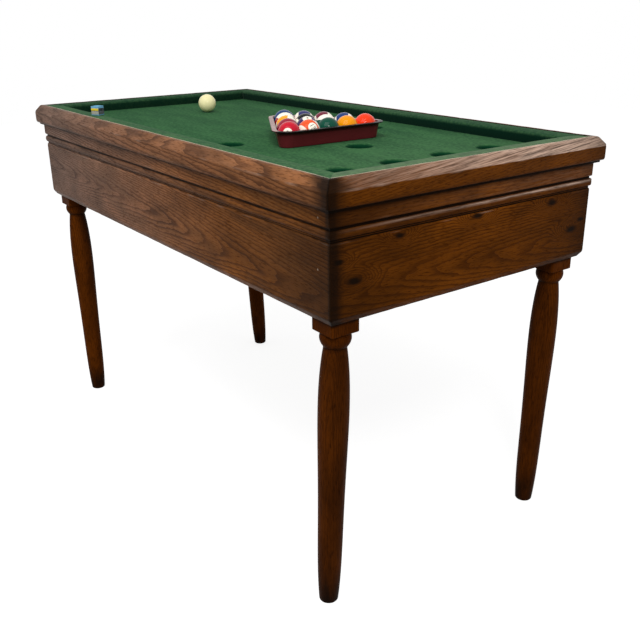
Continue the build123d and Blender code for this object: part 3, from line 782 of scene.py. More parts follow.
def printed_paper(name, upper, lower, split):
    """Printed paper band of the chalk. The eye sees two flat matt colours over each other with a dark line where
    they meet, at the height split, smudged with chalk."""
    material, tree, shader = start_material(name)
    place = add(tree, "TexCoord").outputs["Object"]
    height = add(tree, "SeparateXYZ", {0: place}).outputs["Z"]
    blur = 0.2 * MM
    above = add(tree, "MapRange", {"Value": height, "From Min": split - blur, "From Max": split + blur})
    away = add(tree, "Math", {0: height, 1: split}, operation="SUBTRACT")
    away = add(tree, "Math", {0: away}, operation="ABSOLUTE")
    line = add(
        tree, "MapRange", {"Value": away, "From Min": 0.7 * MM, "From Max": 1.1 * MM, "To Min": 0.8, "To Max": 0.0}
    )
    smudge = add(tree, "TexNoise", {"Vector": place, "Scale": 1 / (7 * MM), "Detail": 4.0})
    dusted = add(tree, "MapRange", {"Value": smudge, "From Min": 0.5, "From Max": 0.8, "To Max": 0.5})
    paper = solid(lower)
    for share, rgb in ((above, upper), (line, srgb("#2b2a26")), (dusted, srgb("#93b4c4"))):
        paper = add(tree, "Mix", {0: share, 6: paper, 7: solid(rgb)}, data_type="RGBA")
    tree.links.new(paper.outputs[2], shader.inputs["Base Color"])
    shader.inputs["Roughness"].default_value = 0.7
    shader.inputs["Specular IOR Level"].default_value = 0.15
    return material


# Pieces


def rail_section(oak):
    """Flat top by the seam, slope, upright face and rounded underside; the foot towards the bed is hidden."""
    under = rail_outer - oak.under_set
    lip = frieze_top + oak.under_drop
    slope_top = rail_outer - oak.slope_run
    corners = [
        (under, frieze_top),
        (under, lip),
        (rail_outer, lip),
        (rail_outer, rail_top - oak.slope_drop),
        (slope_top, rail_top),
        (seam, rail_top),
        (seam, bed_top),
        (rail_foot, bed_top),
        (rail_foot, frieze_top),
    ]
    small = 0.25 * MM
    ease = [small, small, oak.under_set - 2 * small, oak.arris_ease, 2 * oak.arris_ease, oak.arris_ease / 2]
    wear_and_highlight = [0, 0, 0, 0.42, 0.2, 0.2, 0, 0, 0]
    fade = np.full((len(corners), 1), oak.wear_width)
    fade[4] = oak.seam_width
    section = eased_section(corners, ease + [small] * 3, fade, wear_and_highlight, [0] * 9)
    offset, height = section["points"].T
    # The slope and the flat top are drawn paler: rubbed bare, and on the right rail painted light as well
    section["bare_and_lit"] = np.where(height > rail_top - oak.slope_drop - 0.5 * MM, 1.0, 0.015)
    # Painted shade lies in the hollow under the lip
    section["grime"] = 1.3 * np.clip(1 - (height - lip) / (2.5 * MM), 0, 1)
    section["seam"] = ((np.abs(offset - seam) < MM) & (height > rail_top - 2 * MM)).astype(float)
    section["faded"] = 0.4
    return section


def frieze_section(oak):
    """Plain board whose lower edge is chamfered and rubbed."""
    chamfer = 2.5 * MM
    corners = [
        (frieze_inner, bead_top),
        (frieze_outer - chamfer, bead_top),
        (frieze_outer, bead_top + chamfer),
        (frieze_outer, frieze_top),
        (frieze_inner, frieze_top),
    ]
    wear_and_highlight = [0, 0.1, 0.35, 0, 0]
    # Painted shade lies where the frieze meets the bead and under the rail's lip
    grime = [0, 0.7, 0, 0.75, 0]
    fade = np.full((len(corners), 1), oak.wear_width)
    fade[2] = 5 * MM
    section = eased_section(corners, 0.5 * MM, fade, wear_and_highlight, grime)
    # The frieze is lightened a little all over, most on the right end towards the back, painted light against the
    # shade of the rail over it
    section["bare_and_lit"] += 0.08
    return section


def bead_section(oak):
    """Half-round bead between two quirks: half an ellipse from quirk to quirk, rubbed bare above its middle, with a
    painted highlight along it.
    """
    groove = -oak.quirk_depth
    gap = 0.5 * MM
    low = apron_top + oak.quirk
    high = bead_top - oak.quirk
    corners = [(apron_inner, bead_top), (apron_inner, apron_top), (groove, apron_top), (groove, low - gap)]
    # Painted shade fills the quirks on each side of the bead
    section = eased_section(corners, 0.25 * MM, oak.wear_width, [0] * 4, [0, 0, 2.2, 2.2])
    # The first corner is made by the tail, and the last one runs on into the bead
    keep = slice(6, -1)
    turn = np.linspace(0, np.pi, 15)
    bead = np.stack(
        [groove + (bead_outer - groove) * np.sin(turn), (low + high) / 2 - (high - low) / 2 * np.cos(turn)], -1
    )
    tail = np.array([(groove, high + gap), (groove, bead_top), (apron_inner, bead_top)])
    crown = np.clip(np.sin(turn) - 0.55, 0, 1)
    # Rubbed bare above the middle, with a painted highlight along it
    rubbed_and_lit = 1.15 * np.exp(-(((turn - 2.15) / 0.3) ** 2))
    start = section["points"][keep]
    points = np.vstack([start, bead, tail])
    return {
        "points": points,
        "wear_and_highlight": np.concatenate([section["wear_and_highlight"][keep], 0.4 * crown, np.zeros(3)]),
        "grime": np.concatenate([section["grime"][keep], 1.8 * (np.sin(turn) < 0.3), [1.8, 1.8, 0]]),
        "inward": np.zeros_like(points),
        "seam": np.zeros(len(points)),
        "faded": 0.0,
        "bare_and_lit": np.concatenate([np.zeros(len(start)), rubbed_and_lit, np.zeros(3)]),
    }


def apron_section(oak):
    """Wide board, chamfered a little along its top and steeply under its face."""
    corners = [
        (apron_inner, apron_low),
        (-oak.foot_set, apron_low),
        (0, apron_low + oak.foot_rise),
        (0, apron_top - oak.top_chamfer),
        (-oak.top_chamfer, apron_top),
        (apron_inner, apron_top),
    ]
    ease = [0.3 * MM, 0.8 * MM, oak.arris_ease, oak.arris_ease / 2, 0.4 * MM, 0.3 * MM]
    # The arris under the top chamfer is rubbed and carries a painted highlight
    wear_and_highlight = [0, 0.05, 0.22, 0.4, 0.1, 0]
    # Painted shade lies in the chamfer under the face and in the quirk along the top
    grime = [0, 0.75, 0, 0, 1.6, 0]
    return eased_section(corners, ease, oak.wear_width, wear_and_highlight, grime)


def cushion_surface(side, baize):
    """Cloth-covered rubber strip: crowned top, rounded nose and a face drawn in under it, mitred at both ends.
    The top is the parabola that rises by the crown between seam and nose, the nose a quarter circle, the face a
    shallow curve in to the foot; the cloth swells and sinks along the strip by a slow sine. A painted shade with some
    soil grows from the nose down and lies on the far cushions' tops too, and dusted marks the top."""
    run = SIDES[side][2]
    shoulder = rail_top - baize.crown
    inset = 0.15 * MM
    nose_centre = cushion_nose + baize.nose_round
    w = np.linspace(0, 1, 14)
    top = np.stack([seam - inset + (nose_centre - seam) * w, shoulder + 4 * baize.crown * w * (1 - w)], -1)
    turn = np.linspace(0, np.pi / 2, 8)[1:]
    nose = np.stack(
        [nose_centre - baize.nose_round * np.sin(turn), shoulder - baize.nose_round * (1 - np.cos(turn))], -1
    )
    drop = np.linspace(0, 1, 8)[1:]
    lip = shoulder - baize.nose_round
    face = np.stack([cushion_nose + baize.undercut * drop**1.4, lip + (bed_top + inset - lip) * drop], -1)
    back = np.array([(seam - inset, bed_top + inset)])
    offset, height = np.vstack([top, nose, face, back]).T
    end = run + offset
    station, swell_height, swell_length = 12 * MM, 0.35 * MM, 47 * MM
    place = np.linspace(-1, 1, int(2 * run / station))[:, None] * end
    bulge = np.clip(np.sin(np.linspace(0, np.pi, len(offset))), 0, 1)
    swell = swell_height * np.sin(place / swell_length) * bulge
    heights = np.minimum(height + 0.3 * swell, rail_top)
    at_nose = offset < nose_centre
    offsets = offset - np.abs(swell) * at_nose * 0.4 + 0.2 * MM * at_nose
    points = side_points(side, offsets, place, heights)
    # Painted shade, with some soil, darkens the face under the nose and, on the far cushions, the top as well
    darkening_share, shaded, dust = CUSHION_SHADE[side]
    shade_and_soil = np.broadcast_to(np.clip((shoulder - height) / (8 * MM), darkening_share, shaded), place.shape)
    dusted = np.broadcast_to(dust * (height > shoulder - MM), place.shape)
    return points, tube_faces(*place.shape), {"shade_and_soil": shade_and_soil.ravel(), "dusted": dusted.ravel()}


def cloth_lines(start, end, breaks, step):
    """Mesh lines from start to end that pass through every break, evenly spaced between breaks."""
    stops = np.unique(np.round([start, *breaks, end], 7))
    runs = [
        np.linspace(a, b, max(1, int(round((b - a) / step))), endpoint=False) for a, b in zip(stops[:-1], stops[1:])
    ]
    return np.concatenate([*runs, [end]])


def bed_cloth_surface(baize):
    """Flat sheet with a square patch of rings about each pocket. The sheet is a grid of lines through the patches'
    sides. In a patch each ring is the square boundary drawn in towards the mouth; past the mouth the radius follows
    a quarter circle inwards and down, then stays while the lining goes down."""
    low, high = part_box("bed_cloth")
    pockets = [middle(f"pocket_cup_{number}")[:2] for number in range(1, 8)]
    half = baize.patch
    xs = cloth_lines(low[X], high[X], [p[X] + s * half for p in pockets for s in (-1, 1)], baize.mesh_step)
    ys = cloth_lines(low[Y], high[Y], [p[Y] + s * half for p in pockets for s in (-1, 1)], baize.mesh_step)
    columns = len(ys)
    gx, gy = np.meshgrid(xs, ys, indexing="ij")
    points = [np.stack([gx, gy, np.full_like(gx, bed_top)], -1).reshape(-1, 3)]
    quads = grid_faces(len(xs), columns)[:, ::-1]
    centre = points[0][quads].mean(1)
    keep = np.ones(len(quads), bool)
    faces = []
    count = len(points[0])
    inner_radius = baize.pocket_radius
    mouth = inner_radius + baize.mouth_round
    turn = np.linspace(0, np.pi / 2, 8)[1:]
    lining = np.linspace(0, 1, 5)[1:]
    hem = baize.lining_depth - baize.mouth_round
    fall = np.concatenate(
        [bed_top - baize.mouth_round * (1 - np.cos(turn)), bed_top - baize.mouth_round - hem * lining]
    )
    radius = np.concatenate([mouth - baize.mouth_round * np.sin(turn), np.full(len(lining), inner_radius)])
    for pocket in pockets:
        keep &= np.abs(centre[:, :2] - pocket).max(1) > half
        i0, i1 = np.abs(xs - (pocket[X] - half)).argmin(), np.abs(xs - (pocket[X] + half)).argmin()
        j0, j1 = np.abs(ys - (pocket[Y] - half)).argmin(), np.abs(ys - (pocket[Y] + half)).argmin()
        ring_i = np.concatenate([np.arange(i0, i1), np.full(j1 - j0, i1), np.arange(i1, i0, -1), np.full(j1 - j0, i0)])
        ring_j = np.concatenate([np.full(i1 - i0, j0), np.arange(j0, j1), np.full(i1 - i0, j1), np.arange(j1, j0, -1)])
        boundary = ring_i * columns + ring_j
        away = points[0][boundary, :2] - pocket
        distance = np.linalg.norm(away, axis=1)
        outwards = away / distance[:, None]
        share = np.linspace(0, 1, 6)[1:, None]
        flat = distance * (1 - share) + mouth * share
        radii = np.vstack([flat, np.broadcast_to(radius[:, None], (len(radius), len(boundary)))])
        levels = np.concatenate([np.full(len(flat), bed_top), fall])
        rings = np.empty((*radii.shape, 3))
        rings[..., :2] = pocket + outwards * radii[..., None]
        rings[..., 2] = levels[:, None]
        table = np.vstack([boundary, count + np.arange(radii.size).reshape(radii.shape)])
        after = np.roll(table, -1, 1)
        faces.append(np.stack([table[:-1], after[:-1], after[1:], table[1:]], -1).reshape(-1, 4))
        points.append(rings.reshape(-1, 3))
        count += radii.size
    points = np.vstack(points)
    faces = np.vstack([quads[keep], *faces])
    used, faces = np.unique(faces, return_inverse=True)
    points = points[used]
    # Painted shade, with some soil, darkens the cloth as it rolls into a pocket
    shade_and_soil = np.clip((bed_top - points[:, Z] - 0.2 * MM) / (2.6 * MM), 0, 1)
    # Chalk dust lies thinly on the half where the cups are
    dusted = 0.022 * np.clip((points[:, X] - 0.2) / 0.3, 0, 1)
    return points, faces.reshape(-1, 4), {"shade_and_soil": shade_and_soil, "dusted": dusted}


def leg_surface(corner, leg):
    """Square head, then a turned ring and shaft, as rings of one outline. In the head the outline is a square with
    eased corners and a wide clip towards the middle of the table; below it each outline point keeps its direction
    and takes the turned radius. The ring's radius is the parabola in height through three turned sizes, the shaft's
    the quartic through five, and the foot is a quarter circle. The rings' middles lie on the line from the head to
    the settled foot, and the rings stand square to it down to the foot, which is level."""
    sides = np.array((1.0 if "right" in corner else -1.0, 1.0 if "back" in corner else -1.0))
    half = leg.head / 2
    axis = sides * (np.array((half_length, half_width)) + apron_inner - half)
    corner_angle = np.radians((45, 135, 225, 315))
    towards = np.stack([np.cos(corner_angle), np.sin(corner_angle)], -1)
    clip = np.where((np.sign(towards) == -sides).all(1), leg.head_clip, leg.head_ease)
    breaks = math.pi / 4 - np.arctan((half - clip) / half)
    angle = np.concatenate([np.arange(64) * math.pi / 32, corner_angle - breaks, corner_angle + breaks])
    angle = np.unique(np.round(angle % (2 * math.pi), 6))
    direction = np.stack([np.cos(angle), np.sin(angle)], -1)
    to_clip = (2 * half - clip) / math.sqrt(2) / np.maximum(direction @ towards.T, 1e-6)
    radius = np.minimum(half / np.abs(direction).max(1), to_clip.min(1))
    ring = direction * radius[:, None]
    worn = (to_clip.min(1) < half / np.abs(direction).max(1) + 1e-6).astype(float)
    head_bottom = apron_low - leg.head_drop
    neck = head_bottom - leg.ring_height
    ring_levels = np.linspace(head_bottom, neck, 11)
    ring_heights = np.array([head_bottom, head_bottom - leg.swell_drop, neck])
    ring_radii = np.polyval(np.polyfit(ring_heights, [leg.ring_top, leg.ring_radius, leg.ring_foot], 2), ring_levels)
    heights = np.array([leg.foot_round, leg.shin_height, neck - leg.belly_drop, neck - leg.shoulder_drop, neck])
    turned = np.array([leg.foot, leg.shin, leg.belly, leg.shoulder, leg.neck])
    shaft_levels = np.linspace(neck, leg.foot_round, 60)
    shaft_radii = np.polyval(np.polyfit(heights, turned, 4), shaft_levels)
    sole = np.linspace(0, np.pi / 2, 5)[1:]
    sole_levels = leg.foot_round * (1 - np.sin(sole))
    sole_radii = leg.foot - leg.foot_round * (1 - np.cos(sole))
    levels = np.concatenate([ring_levels, shaft_levels, sole_levels])
    radii = np.concatenate([ring_radii, shaft_radii, sole_radii])
    ease = 1.5 * MM
    head_levels = np.array([bead_top, apron_low + ease, apron_low - 9 * MM, head_bottom + ease, head_bottom])
    shrink = np.array([1, 1, 1, 1, (half - ease) / half])
    head = np.empty((len(head_levels), len(ring), 3))
    head[..., :2] = axis + ring * shrink[:, None, None]
    head[..., 2] = head_levels[:, None]
    lean = np.array(FOOT_SETTLING[corner]) * MM / head_bottom
    centre = axis + lean * (head_bottom - levels)[:, None]
    tilt = np.clip(levels / (40 * MM), 0, 1) * np.clip((head_bottom - levels) / (10 * MM), 0, 1)
    body = np.empty((len(levels), len(ring), 3))
    body[..., :2] = centre[:, None] + direction * radii[:, None, None]
    body[..., 2] = levels[:, None] + (direction @ lean) * (radii * tilt)[:, None]
    points = np.vstack([head, body])
    wear_and_highlight = np.zeros(points.shape[:2])
    wear_and_highlight[2:5] = 0.2 * worn
    # Dirt lies in the joint with the aprons; painted shade lies under the head and round the neck, and the leg is
    # drawn darker towards the foot
    grime = np.zeros(points.shape[:2])
    grime[1] = 1.0
    grime[4:6] = 0.4
    level = points[..., Z]
    grime = np.maximum(grime, 0.4 * np.exp(-(((level - neck) / (4 * MM)) ** 2)))
    grime = np.maximum(grime, 0.6 * np.exp(-((level / (80 * MM)) ** 2)))
    # Each leg comes from its own place along the trunk, whose heart drifts across it
    grain = np.stack(
        [
            level + 3.1 * axis[X] + 5.7 * axis[Y],
            points[..., X] - axis[X] - 0.019 - 0.02 * level,
            points[..., Y] - axis[Y] + 0.012 + 0.03 * level,
        ],
        -1,
    )
    # Painted shade on the sides turned in under the table, growing towards the top
    inward = np.clip(-(direction @ sides) / math.sqrt(2), 0, 1) * np.clip(level / head_bottom, 0, 1) ** 2
    shaft = np.clip((head_bottom - level) / (60 * MM), 0, 1)
    attributes = {
        "grain": grain.reshape(-1, 3),
        "wear_and_highlight": wear_and_highlight.ravel(),
        "grime": grime.ravel(),
        "patina_and_shade": np.maximum(LEG_DARKENING[corner] * shaft, 0.75 * inward).ravel(),
    }
    return points, tube_faces(*points.shape[:2]), attributes


def rack_surface(game):
    """Triangular tray. A section climbs the leaning wall from the foot, goes round the flange and comes down inside
    to the floor, and is carried round a triangle with round corners. A path point is a corner of the inner triangle
    plus the corner radius in the wall's outward direction, which turns through 120 degrees at each corner; the
    section's offset lengthens that radius. Foot and floor are closed by flat faces."""
    apex, left, right = (middle(f"ball_{number:02d}") for number in (1, 11, 15))
    centre = (apex + left + right)[:2] / 3
    base = (left + right)[:2] / 2 - centre
    reach = np.linalg.norm(base) + ball_radius + game.rack_clearance
    heading = math.atan2(base[Y], base[X])
    core = 2 * (reach - game.rack_corner)
    low, high = edge("rack", LOW, Z), edge("rack", HIGH, Z)
    floor = low + game.rack_floor
    under = high - game.rack_wall
    slope = game.rack_draft / (high - low)
    outer = (low - left[Z]) * slope + game.rack_wall
    brim = (high - left[Z]) * slope
    tip = brim + game.rack_wall + game.rack_flange
    inner = (floor - left[Z]) * slope
    quarter = np.linspace(0, np.pi / 2, 5)
    half_turn = np.linspace(0, np.pi, 9)
    foot_round, edge_round, lip_round = game.rack_foot, game.rack_wall / 2, 0.8 * MM
    section = np.vstack(
        [
            np.stack([outer - foot_round * (1 - np.sin(quarter)), low + foot_round * (1 - np.cos(quarter))], -1),
            [(outer + (share * (under - low)) * slope, low + share * (under - low)) for share in (0.4, 0.75, 0.97)],
            [(outer + (under - low) * slope + lip_round, under)],
            np.stack(
                [tip - edge_round * (1 - np.sin(half_turn)), under + edge_round * (1 - np.cos(half_turn))], -1
            ),
            np.stack([brim + lip_round * (1 - np.sin(quarter)), high - lip_round * (1 - np.cos(quarter))], -1),
            [(inner + foot_round * slope, floor + foot_round)],
            np.stack([inner - foot_round * (1 - np.cos(quarter)), floor + foot_round * (1 - np.sin(quarter))], -1)[1:],
        ]
    )
    offset, height = section.T
    wall = heading + np.radians((60, 180, 300))
    turn = np.radians(np.linspace(-60, 60, 13))
    run = np.linspace(0, 1, 16)[1:-1]
    corner_points = centre + core * np.stack([np.cos(wall), np.sin(wall)], -1)
    following = np.roll(corner_points, -1, 0)
    arcs = np.repeat(corner_points[:, None], len(turn), 1)
    straight = corner_points[:, None] * (1 - run[:, None]) + following[:, None] * run[:, None]
    path = np.concatenate([arcs, straight], 1).reshape(-1, 2)
    angle = np.concatenate([wall[:, None] + turn, np.repeat(wall[:, None] + turn[-1], len(run), 1)], 1).ravel()
    normal = np.stack([np.cos(angle), np.sin(angle)], -1)
    points = np.empty((len(offset), len(path), 3))
    points[..., :2] = path + normal * (game.rack_corner + offset)[:, None, None]
    points[..., 2] = height[:, None]
    # The flange's top carries a painted highlight on the two far sides; painted shade darkens its side towards the
    # cups, its rim and the wall under it
    on_flange = (offset > brim + 0.5 * lip_round) & (height >= under)
    far_side = np.cos(angle - heading) < 0.3
    wear_and_highlight = (on_flange & (height > high - 0.3 * MM))[:, None] * far_side
    below = np.clip(1 - (under - height) / (9 * MM), 0, 1) * (height <= under) * (offset > brim - 6 * MM)
    around = np.clip((high - height) / (high - under) * 1.5, 0, 1) * on_flange
    grime = np.maximum(np.maximum(below, around)[:, None], on_flange[:, None] * ~far_side)
    return points, tube_faces(*points.shape[:2]), {"wear_and_highlight": wear_and_highlight.ravel(), "grime": grime.ravel()}


def ball_surface(centre, axis, band, segments):
    """Sphere whose pole is the number's disc: the angle from the pole runs along the rows, the turn about it along
    the columns. turned holds each point in the ball's own frame: along the disc's axis, across, along the band's
    axis."""
    across = np.cross(band, axis)
    polar = np.linspace(0, np.pi, segments // 2 + 1)[1:-1, None]
    turn = np.linspace(0, 2 * np.pi, segments, endpoint=False)[None, :]
    own = np.stack(
        [
            np.cos(polar) * np.ones_like(turn),
            np.sin(polar) * np.cos(turn),
            np.sin(polar) * np.sin(turn),
        ],
        -1,
    ).reshape(-1, 3)
    own = ball_radius * np.vstack([own, (1, 0, 0), (-1, 0, 0)])
    points = centre + own @ np.stack([axis, across, band])
    rows = len(polar)
    last = (rows - 1) * segments + np.arange(segments)
    faces = [
        grid_faces(rows, segments, True),
        fan_faces(np.arange(segments)[::-1], rows * segments),
        fan_faces(last, rows * segments + 1),
    ]
    return points, faces, own


def digits_mesh(text, height):
    """Flat outline of a number, cut into small faces so that it can lie on a ball: points and faces."""
    curve = bpy.data.curves.new("digits", "FONT")
    curve.body = text
    curve.align_x = "CENTER"
    curve.align_y = "CENTER"
    # The font's digits are 0.7 of its size high
    curve.size = height / 0.7
    curve.resolution_u = 4
    holder = bpy.data.objects.new("digits", curve)
    mesh = bpy.data.meshes.new_from_object(holder)
    shape = bmesh.new()
    shape.from_mesh(mesh)
    bmesh.ops.triangulate(shape, faces=shape.faces)
    bmesh.ops.subdivide_edges(shape, edges=shape.edges, cuts=2, use_grid_fill=True)
    bmesh.ops.triangulate(shape, faces=shape.faces)
    shape.verts.index_update()
    points = np.array([vertex.co[:2] for vertex in shape.verts])
    faces = np.array([[vertex.index for vertex in face.verts] for face in shape.faces])
    shape.free()
    bpy.data.objects.remove(holder)
    bpy.data.curves.remove(curve)
    bpy.data.meshes.remove(mesh)
    low, high = points.min(0), points.max(0)
    return points - (low + high) / 2, faces


def facing(azimuth, elevation):
    """Unit direction at a compass angle from +X towards +Y and an angle above the bed, in degrees."""
    a, e = math.radians(azimuth), math.radians(elevation)
    return np.array((math.cos(e) * math.cos(a), math.cos(e) * math.sin(a), math.sin(e)))


def square_to(axis, towards):
    """Unit direction square to an axis, as near to another direction as it can be."""
    across = towards - axis * (axis @ towards)
    return across / np.linalg.norm(across)


def numbered_ball(node, axis, band, number, game):
    """Ball with its number on two opposite sides. A digit's flat point is pushed out along the line from the ball's
    middle, just past its surface. Returns each point in the ball's own frame and the material of each face too."""
    centre = middle(node)
    points, faces, own = ball_surface(centre, axis, band, game.ball_segments)
    resin_faces = sum(len(group) for group in faces)
    flat, glyph = digits_mesh(str(number), game.digit_height)
    for way in (1, -1):
        own_digit = np.column_stack([np.full(len(flat), way * ball_radius), way * flat[:, 0], flat[:, 1]])
        own_digit *= (ball_radius + INK_PROUD) / np.linalg.norm(own_digit, axis=1, keepdims=True)
        faces.append(glyph + len(points))
        points = np.vstack([points, centre + own_digit @ np.stack([axis, np.cross(band, axis), band])])
        own = np.vstack([own, own_digit])
    return points, faces, own, np.repeat((0, 1), (resin_faces, 2 * len(glyph)))


def chalk_surface():
    """Block with eased edges and a dished top: a square outline drawn in and out along its height, which turns to a
    circle inside the rim; the dish is a parabola. Returns the material of each face too."""
    low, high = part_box("chalk")
    centre = np.array(((low[X] + high[X]) / 2, (low[Y] + high[Y]) / 2))
    side = high[Z] - low[Z]
    turn = math.radians(30)
    rotate = np.array([(math.cos(turn), math.sin(turn)), (-math.sin(turn), math.cos(turn))])
    half = side / 2
    square = half * np.array([(1, 1), (-1, 1), (-1, -1), (1, -1)])
    ring = eased_section(square, 0.9 * MM, 6 * MM, [0] * 4, [0] * 4, steps=4)["points"]
    direction = ring / np.linalg.norm(ring, axis=1, keepdims=True)
    ease = 0.7 * MM
    dish_radius = 9.6 * MM
    dish_depth = 3.6 * MM
    band_low, band_high = 2.5 * MM, side - 5 * MM
    scale = np.array([0.4, 1 - ease / half, 1, 1, 1.004, 1.004, 1, 1, 1 - ease / half])
    level = np.array([0, 0, ease, band_low, band_low + 0.1 * MM, band_high, band_high + 0.1 * MM, side - ease, side])
    outer = np.empty((len(scale), len(ring), 3))
    outer[..., :2] = ring * scale[:, None, None]
    outer[..., 2] = level[:, None]
    share = np.linspace(1, 0.12, 7)
    dish = np.empty((len(share), len(ring), 3))
    dish[..., :2] = direction * (dish_radius * share)[:, None, None]
    dish[..., 2] = (side - dish_depth * (1 - share**2))[:, None]
    points = np.vstack([outer, dish])
    rows, columns = points.shape[:2]
    points[..., :2] = points[..., :2] @ rotate + centre
    points[..., 2] += low[Z]
    # Three rows are covered with paper, whose panels are dark on two sides
    row = np.repeat(np.arange(rows - 1), columns)
    centred = ring + np.roll(ring, -1, 0)
    dark = np.where(np.abs(centred[:, X]) > np.abs(centred[:, Y]), centred[:, X] > 0, centred[:, Y] > 0)
    slots = np.where((row >= 3) & (row <= 5), 1 + np.tile(dark, rows - 1), 0)
    return points, tube_faces(rows, columns), np.concatenate([slots, [0, 0]])


# How far a ball's number stands past its surface
INK_PROUD = 0.06 * MM

# Number, colour, whether it is striped, and the ways that the disc and the end of a striped ball face:
# the compass angle from +X towards +Y, and the angle above the bed
BALLS = {
    1: (2, "#173a72", False, (150, 20), (0, 90)),
    2: (11, "#b3242b", True, (145, 5), (-35, 62)),
    3: (12, "#30306a", True, (145, 10), (-125, 5)),
    4: (9, "#ffa812", True, (145, 30), (20, 10)),
    5: (8, "#141416", False, (-100, 10), (0, 90)),
    6: (15, "#752236", True, (150, 25), (70, 20)),
    7: (7, "#96203a", False, (150, 20), (0, 90)),
    8: (4, "#3d2460", False, (-35, 66), (0, 90)),
    9: (14, "#0f5543", True, (60, 5), (-126, 35)),
    10: (10, "#173a76", True, (145, 40), (20, -12)),
    11: (3, "#c9142f", False, (-42, 9), (0, 90)),
    12: (13, "#ee5a28", True, (-12, 27), (50, 35)),
    13: (6, "#064a39", False, (147, 60), (0, 90)),
    14: (1, "#f89c02", False, (147, 60), (0, 90)),
    15: (5, "#f43d15", False, (147, 60), (0, 90)),
}

# Knots of the right end's apron, in millimetres: place across the table, height and radius
END_KNOTS = (
    (212.7, 741.5, 6.5),
    (4.7, 747.6, 6.0),
    (-183.3, 744.6, 5.0),
    (281.9, 676.8, 7.0),
    (308.2, 693.4, 4.5),
    (-313.4, 720.8, 4.5),
    (-280.8, 683.6, 7.0),
)

# Putty over nails in the front boards, in millimetres: place along the table, height and radius
FILLERS = {"apron_front": (624.7, 704.9, 2.2), "frieze_front": (629.3, 792.8, 2.0)}

# Where the heart of the tree lies behind each board: shift along, height, offset, and drifts per metre
LOGS = {
    "apron_front": (3.1, 0.690, -0.034, 0.035, 0.045),
    "apron_back": (7.9, 0.700, -0.052, -0.02, -0.05),
    "apron_left": (12.3, 0.660, -0.046, 0.04, 0.06),
    "apron_right": (17.2, 0.675, -0.050, 0.03, -0.045),
    "rail_front": (21.4, 0.800, -0.060, 0.02, 0.03),
    "rail_back": (25.2, 0.790, -0.080, -0.02, 0.04),
    "rail_left": (29.0, 0.780, -0.070, 0.03, -0.02),
    "rail_right": (33.8, 1.050, -0.190, -0.07, 0.07),
    "frieze_front": (37.7, 0.740, -0.050, 0.03, 0.05),
    "frieze_back": (41.1, 0.750, -0.060, 0.02, -0.04),
    "frieze_left": (45.3, 0.830, -0.055, 0.01, 0.06),
    "frieze_right": (49.6, 0.740, -0.065, -0.03, 0.04),
    "bead_front": (53.3, 0.720, -0.060, 0.01, 0.02),
    "bead_back": (57.8, 0.720, -0.060, 0.02, 0.01),
    "bead_left": (61.2, 0.800, -0.060, 0.01, 0.02),
    "bead_right": (65.9, 0.800, -0.060, 0.02, 0.02),
}

# Stations of a strip from one knock in its edges to the next, and from one scuff to the next
KNOCK_STATIONS = 3
SCUFF_STATIONS = 4

# Wear of an edge between scuffs, and what a full scuff adds to it
LEAST_WEAR = 0.45
SCUFF_WEAR = 0.9

# Rows of a strip that keep parallel to its mitre, in millimetres from the last one
MITRE_ROWS = (2.5, 5.0, 8.0, 11.0)

# Dirt in the mitres' joints: how wide it is, how thick at the near corner for each layer, and at the other corners
JOINT_WIDTH = 1.6 * MM
JOINT_DIRT = {"rail": 0.7, "frieze": 0.4, "bead": 0.4, "apron": 0.4}
FAR_JOINT_DIRT = 0.3

# How dark dirt has stained the wood beside the mitres, at the near corner and at the others
NEAR_STAIN, FAR_STAIN = 0.94, 0.2

# How its reach grows from the top of the rail's slope to the foot, and what share of its reach upright faces have
CREEP = {"front": (-0.4, 0.6), "right": (0.8, 0.8)}

# How far dirt has crept from the mitres of each layer
SOAK = {
    "rail": 46 * MM,
    "rail_right": 42 * MM,
    "frieze": 30 * MM,
    "bead": 30 * MM,
    "apron": 18 * MM,
    "apron_right": 40 * MM,
}

# How the wood darkens towards the mitres: depth and reach in metres at the near corner, then at the other corners,
# for the long sides and for the right end
PATINA = {
    "rail": ((0.2, 0.4, 0.1, 0.06), (0.1, 0.1, 0.5, 0.05)),
    "frieze": ((0.42, 0.25, 0.0, 0.06), (0.5, 0.3, 0.0, 0.05)),
    "bead": ((0.5, 0.7, 0.3, 3.0), (0.5, 0.15, 0.3, 0.06)),
    "apron": ((0.8, 0.32, 0.24, 0.06), (0.68, 0.12, 0.74, 0.14)),
}

# How much darker the shaft of each leg is drawn; the sides turned in under the table are darker still, as painted
# shade
LEG_DARKENING = {"front_left": 0.0, "front_right": 0.36, "back_left": 0.1, "back_right": 0.25}

# How much painted shade lies in the recesses of each side, and how far its edges are rubbed
RECESS_SHADE = {"front": 0.32, "back": 0.8, "left": 0.8, "right": 1.0}
RUBBED = {"front": 1.0, "back": 0.2, "left": 0.2, "right": 1.0}

# How far the boards are drawn paler, the tops of the rails most: rubbed bare, and on the right end painted light as
# well, which grows towards the back; at the ends of a rail and towards its middle, or at the front and the back of the
# right one; and the places between which that changes
PALING_SPAN = (-0.32, 0.3)
PALING = {"front": (0.04, 0.04), "back": (0.0, 0.0), "left": (0.0, 0.0), "right": (0.1, 1.3)}

# How far painted shade with some soil darkens the top of each cushion, most on the far ones, how far it darkens its
# face, and how dusty its top is
CUSHION_SHADE = {"front": (0.0, 0.9, 0.0), "back": (0.4, 0.98, 0.0), "left": (0.5, 0.85, 0.0), "right": (0.0, 0.9, 0.1)}

# How far light has faded the boards at the left and at the right of the table, and from where to where
FADED_SPAN = (-0.55, 0.35)
FADED = {"front": (1.0, 0.0), "back": (0.6, 0.3), "left": (0.0, 0.0), "right": (0.0, 0.0)}

# What is left, towards the right, of the light that fell on the tops of the long rails: places and shares
SUNLIT = ((0.0, 0.55), (1.0, 0.6))


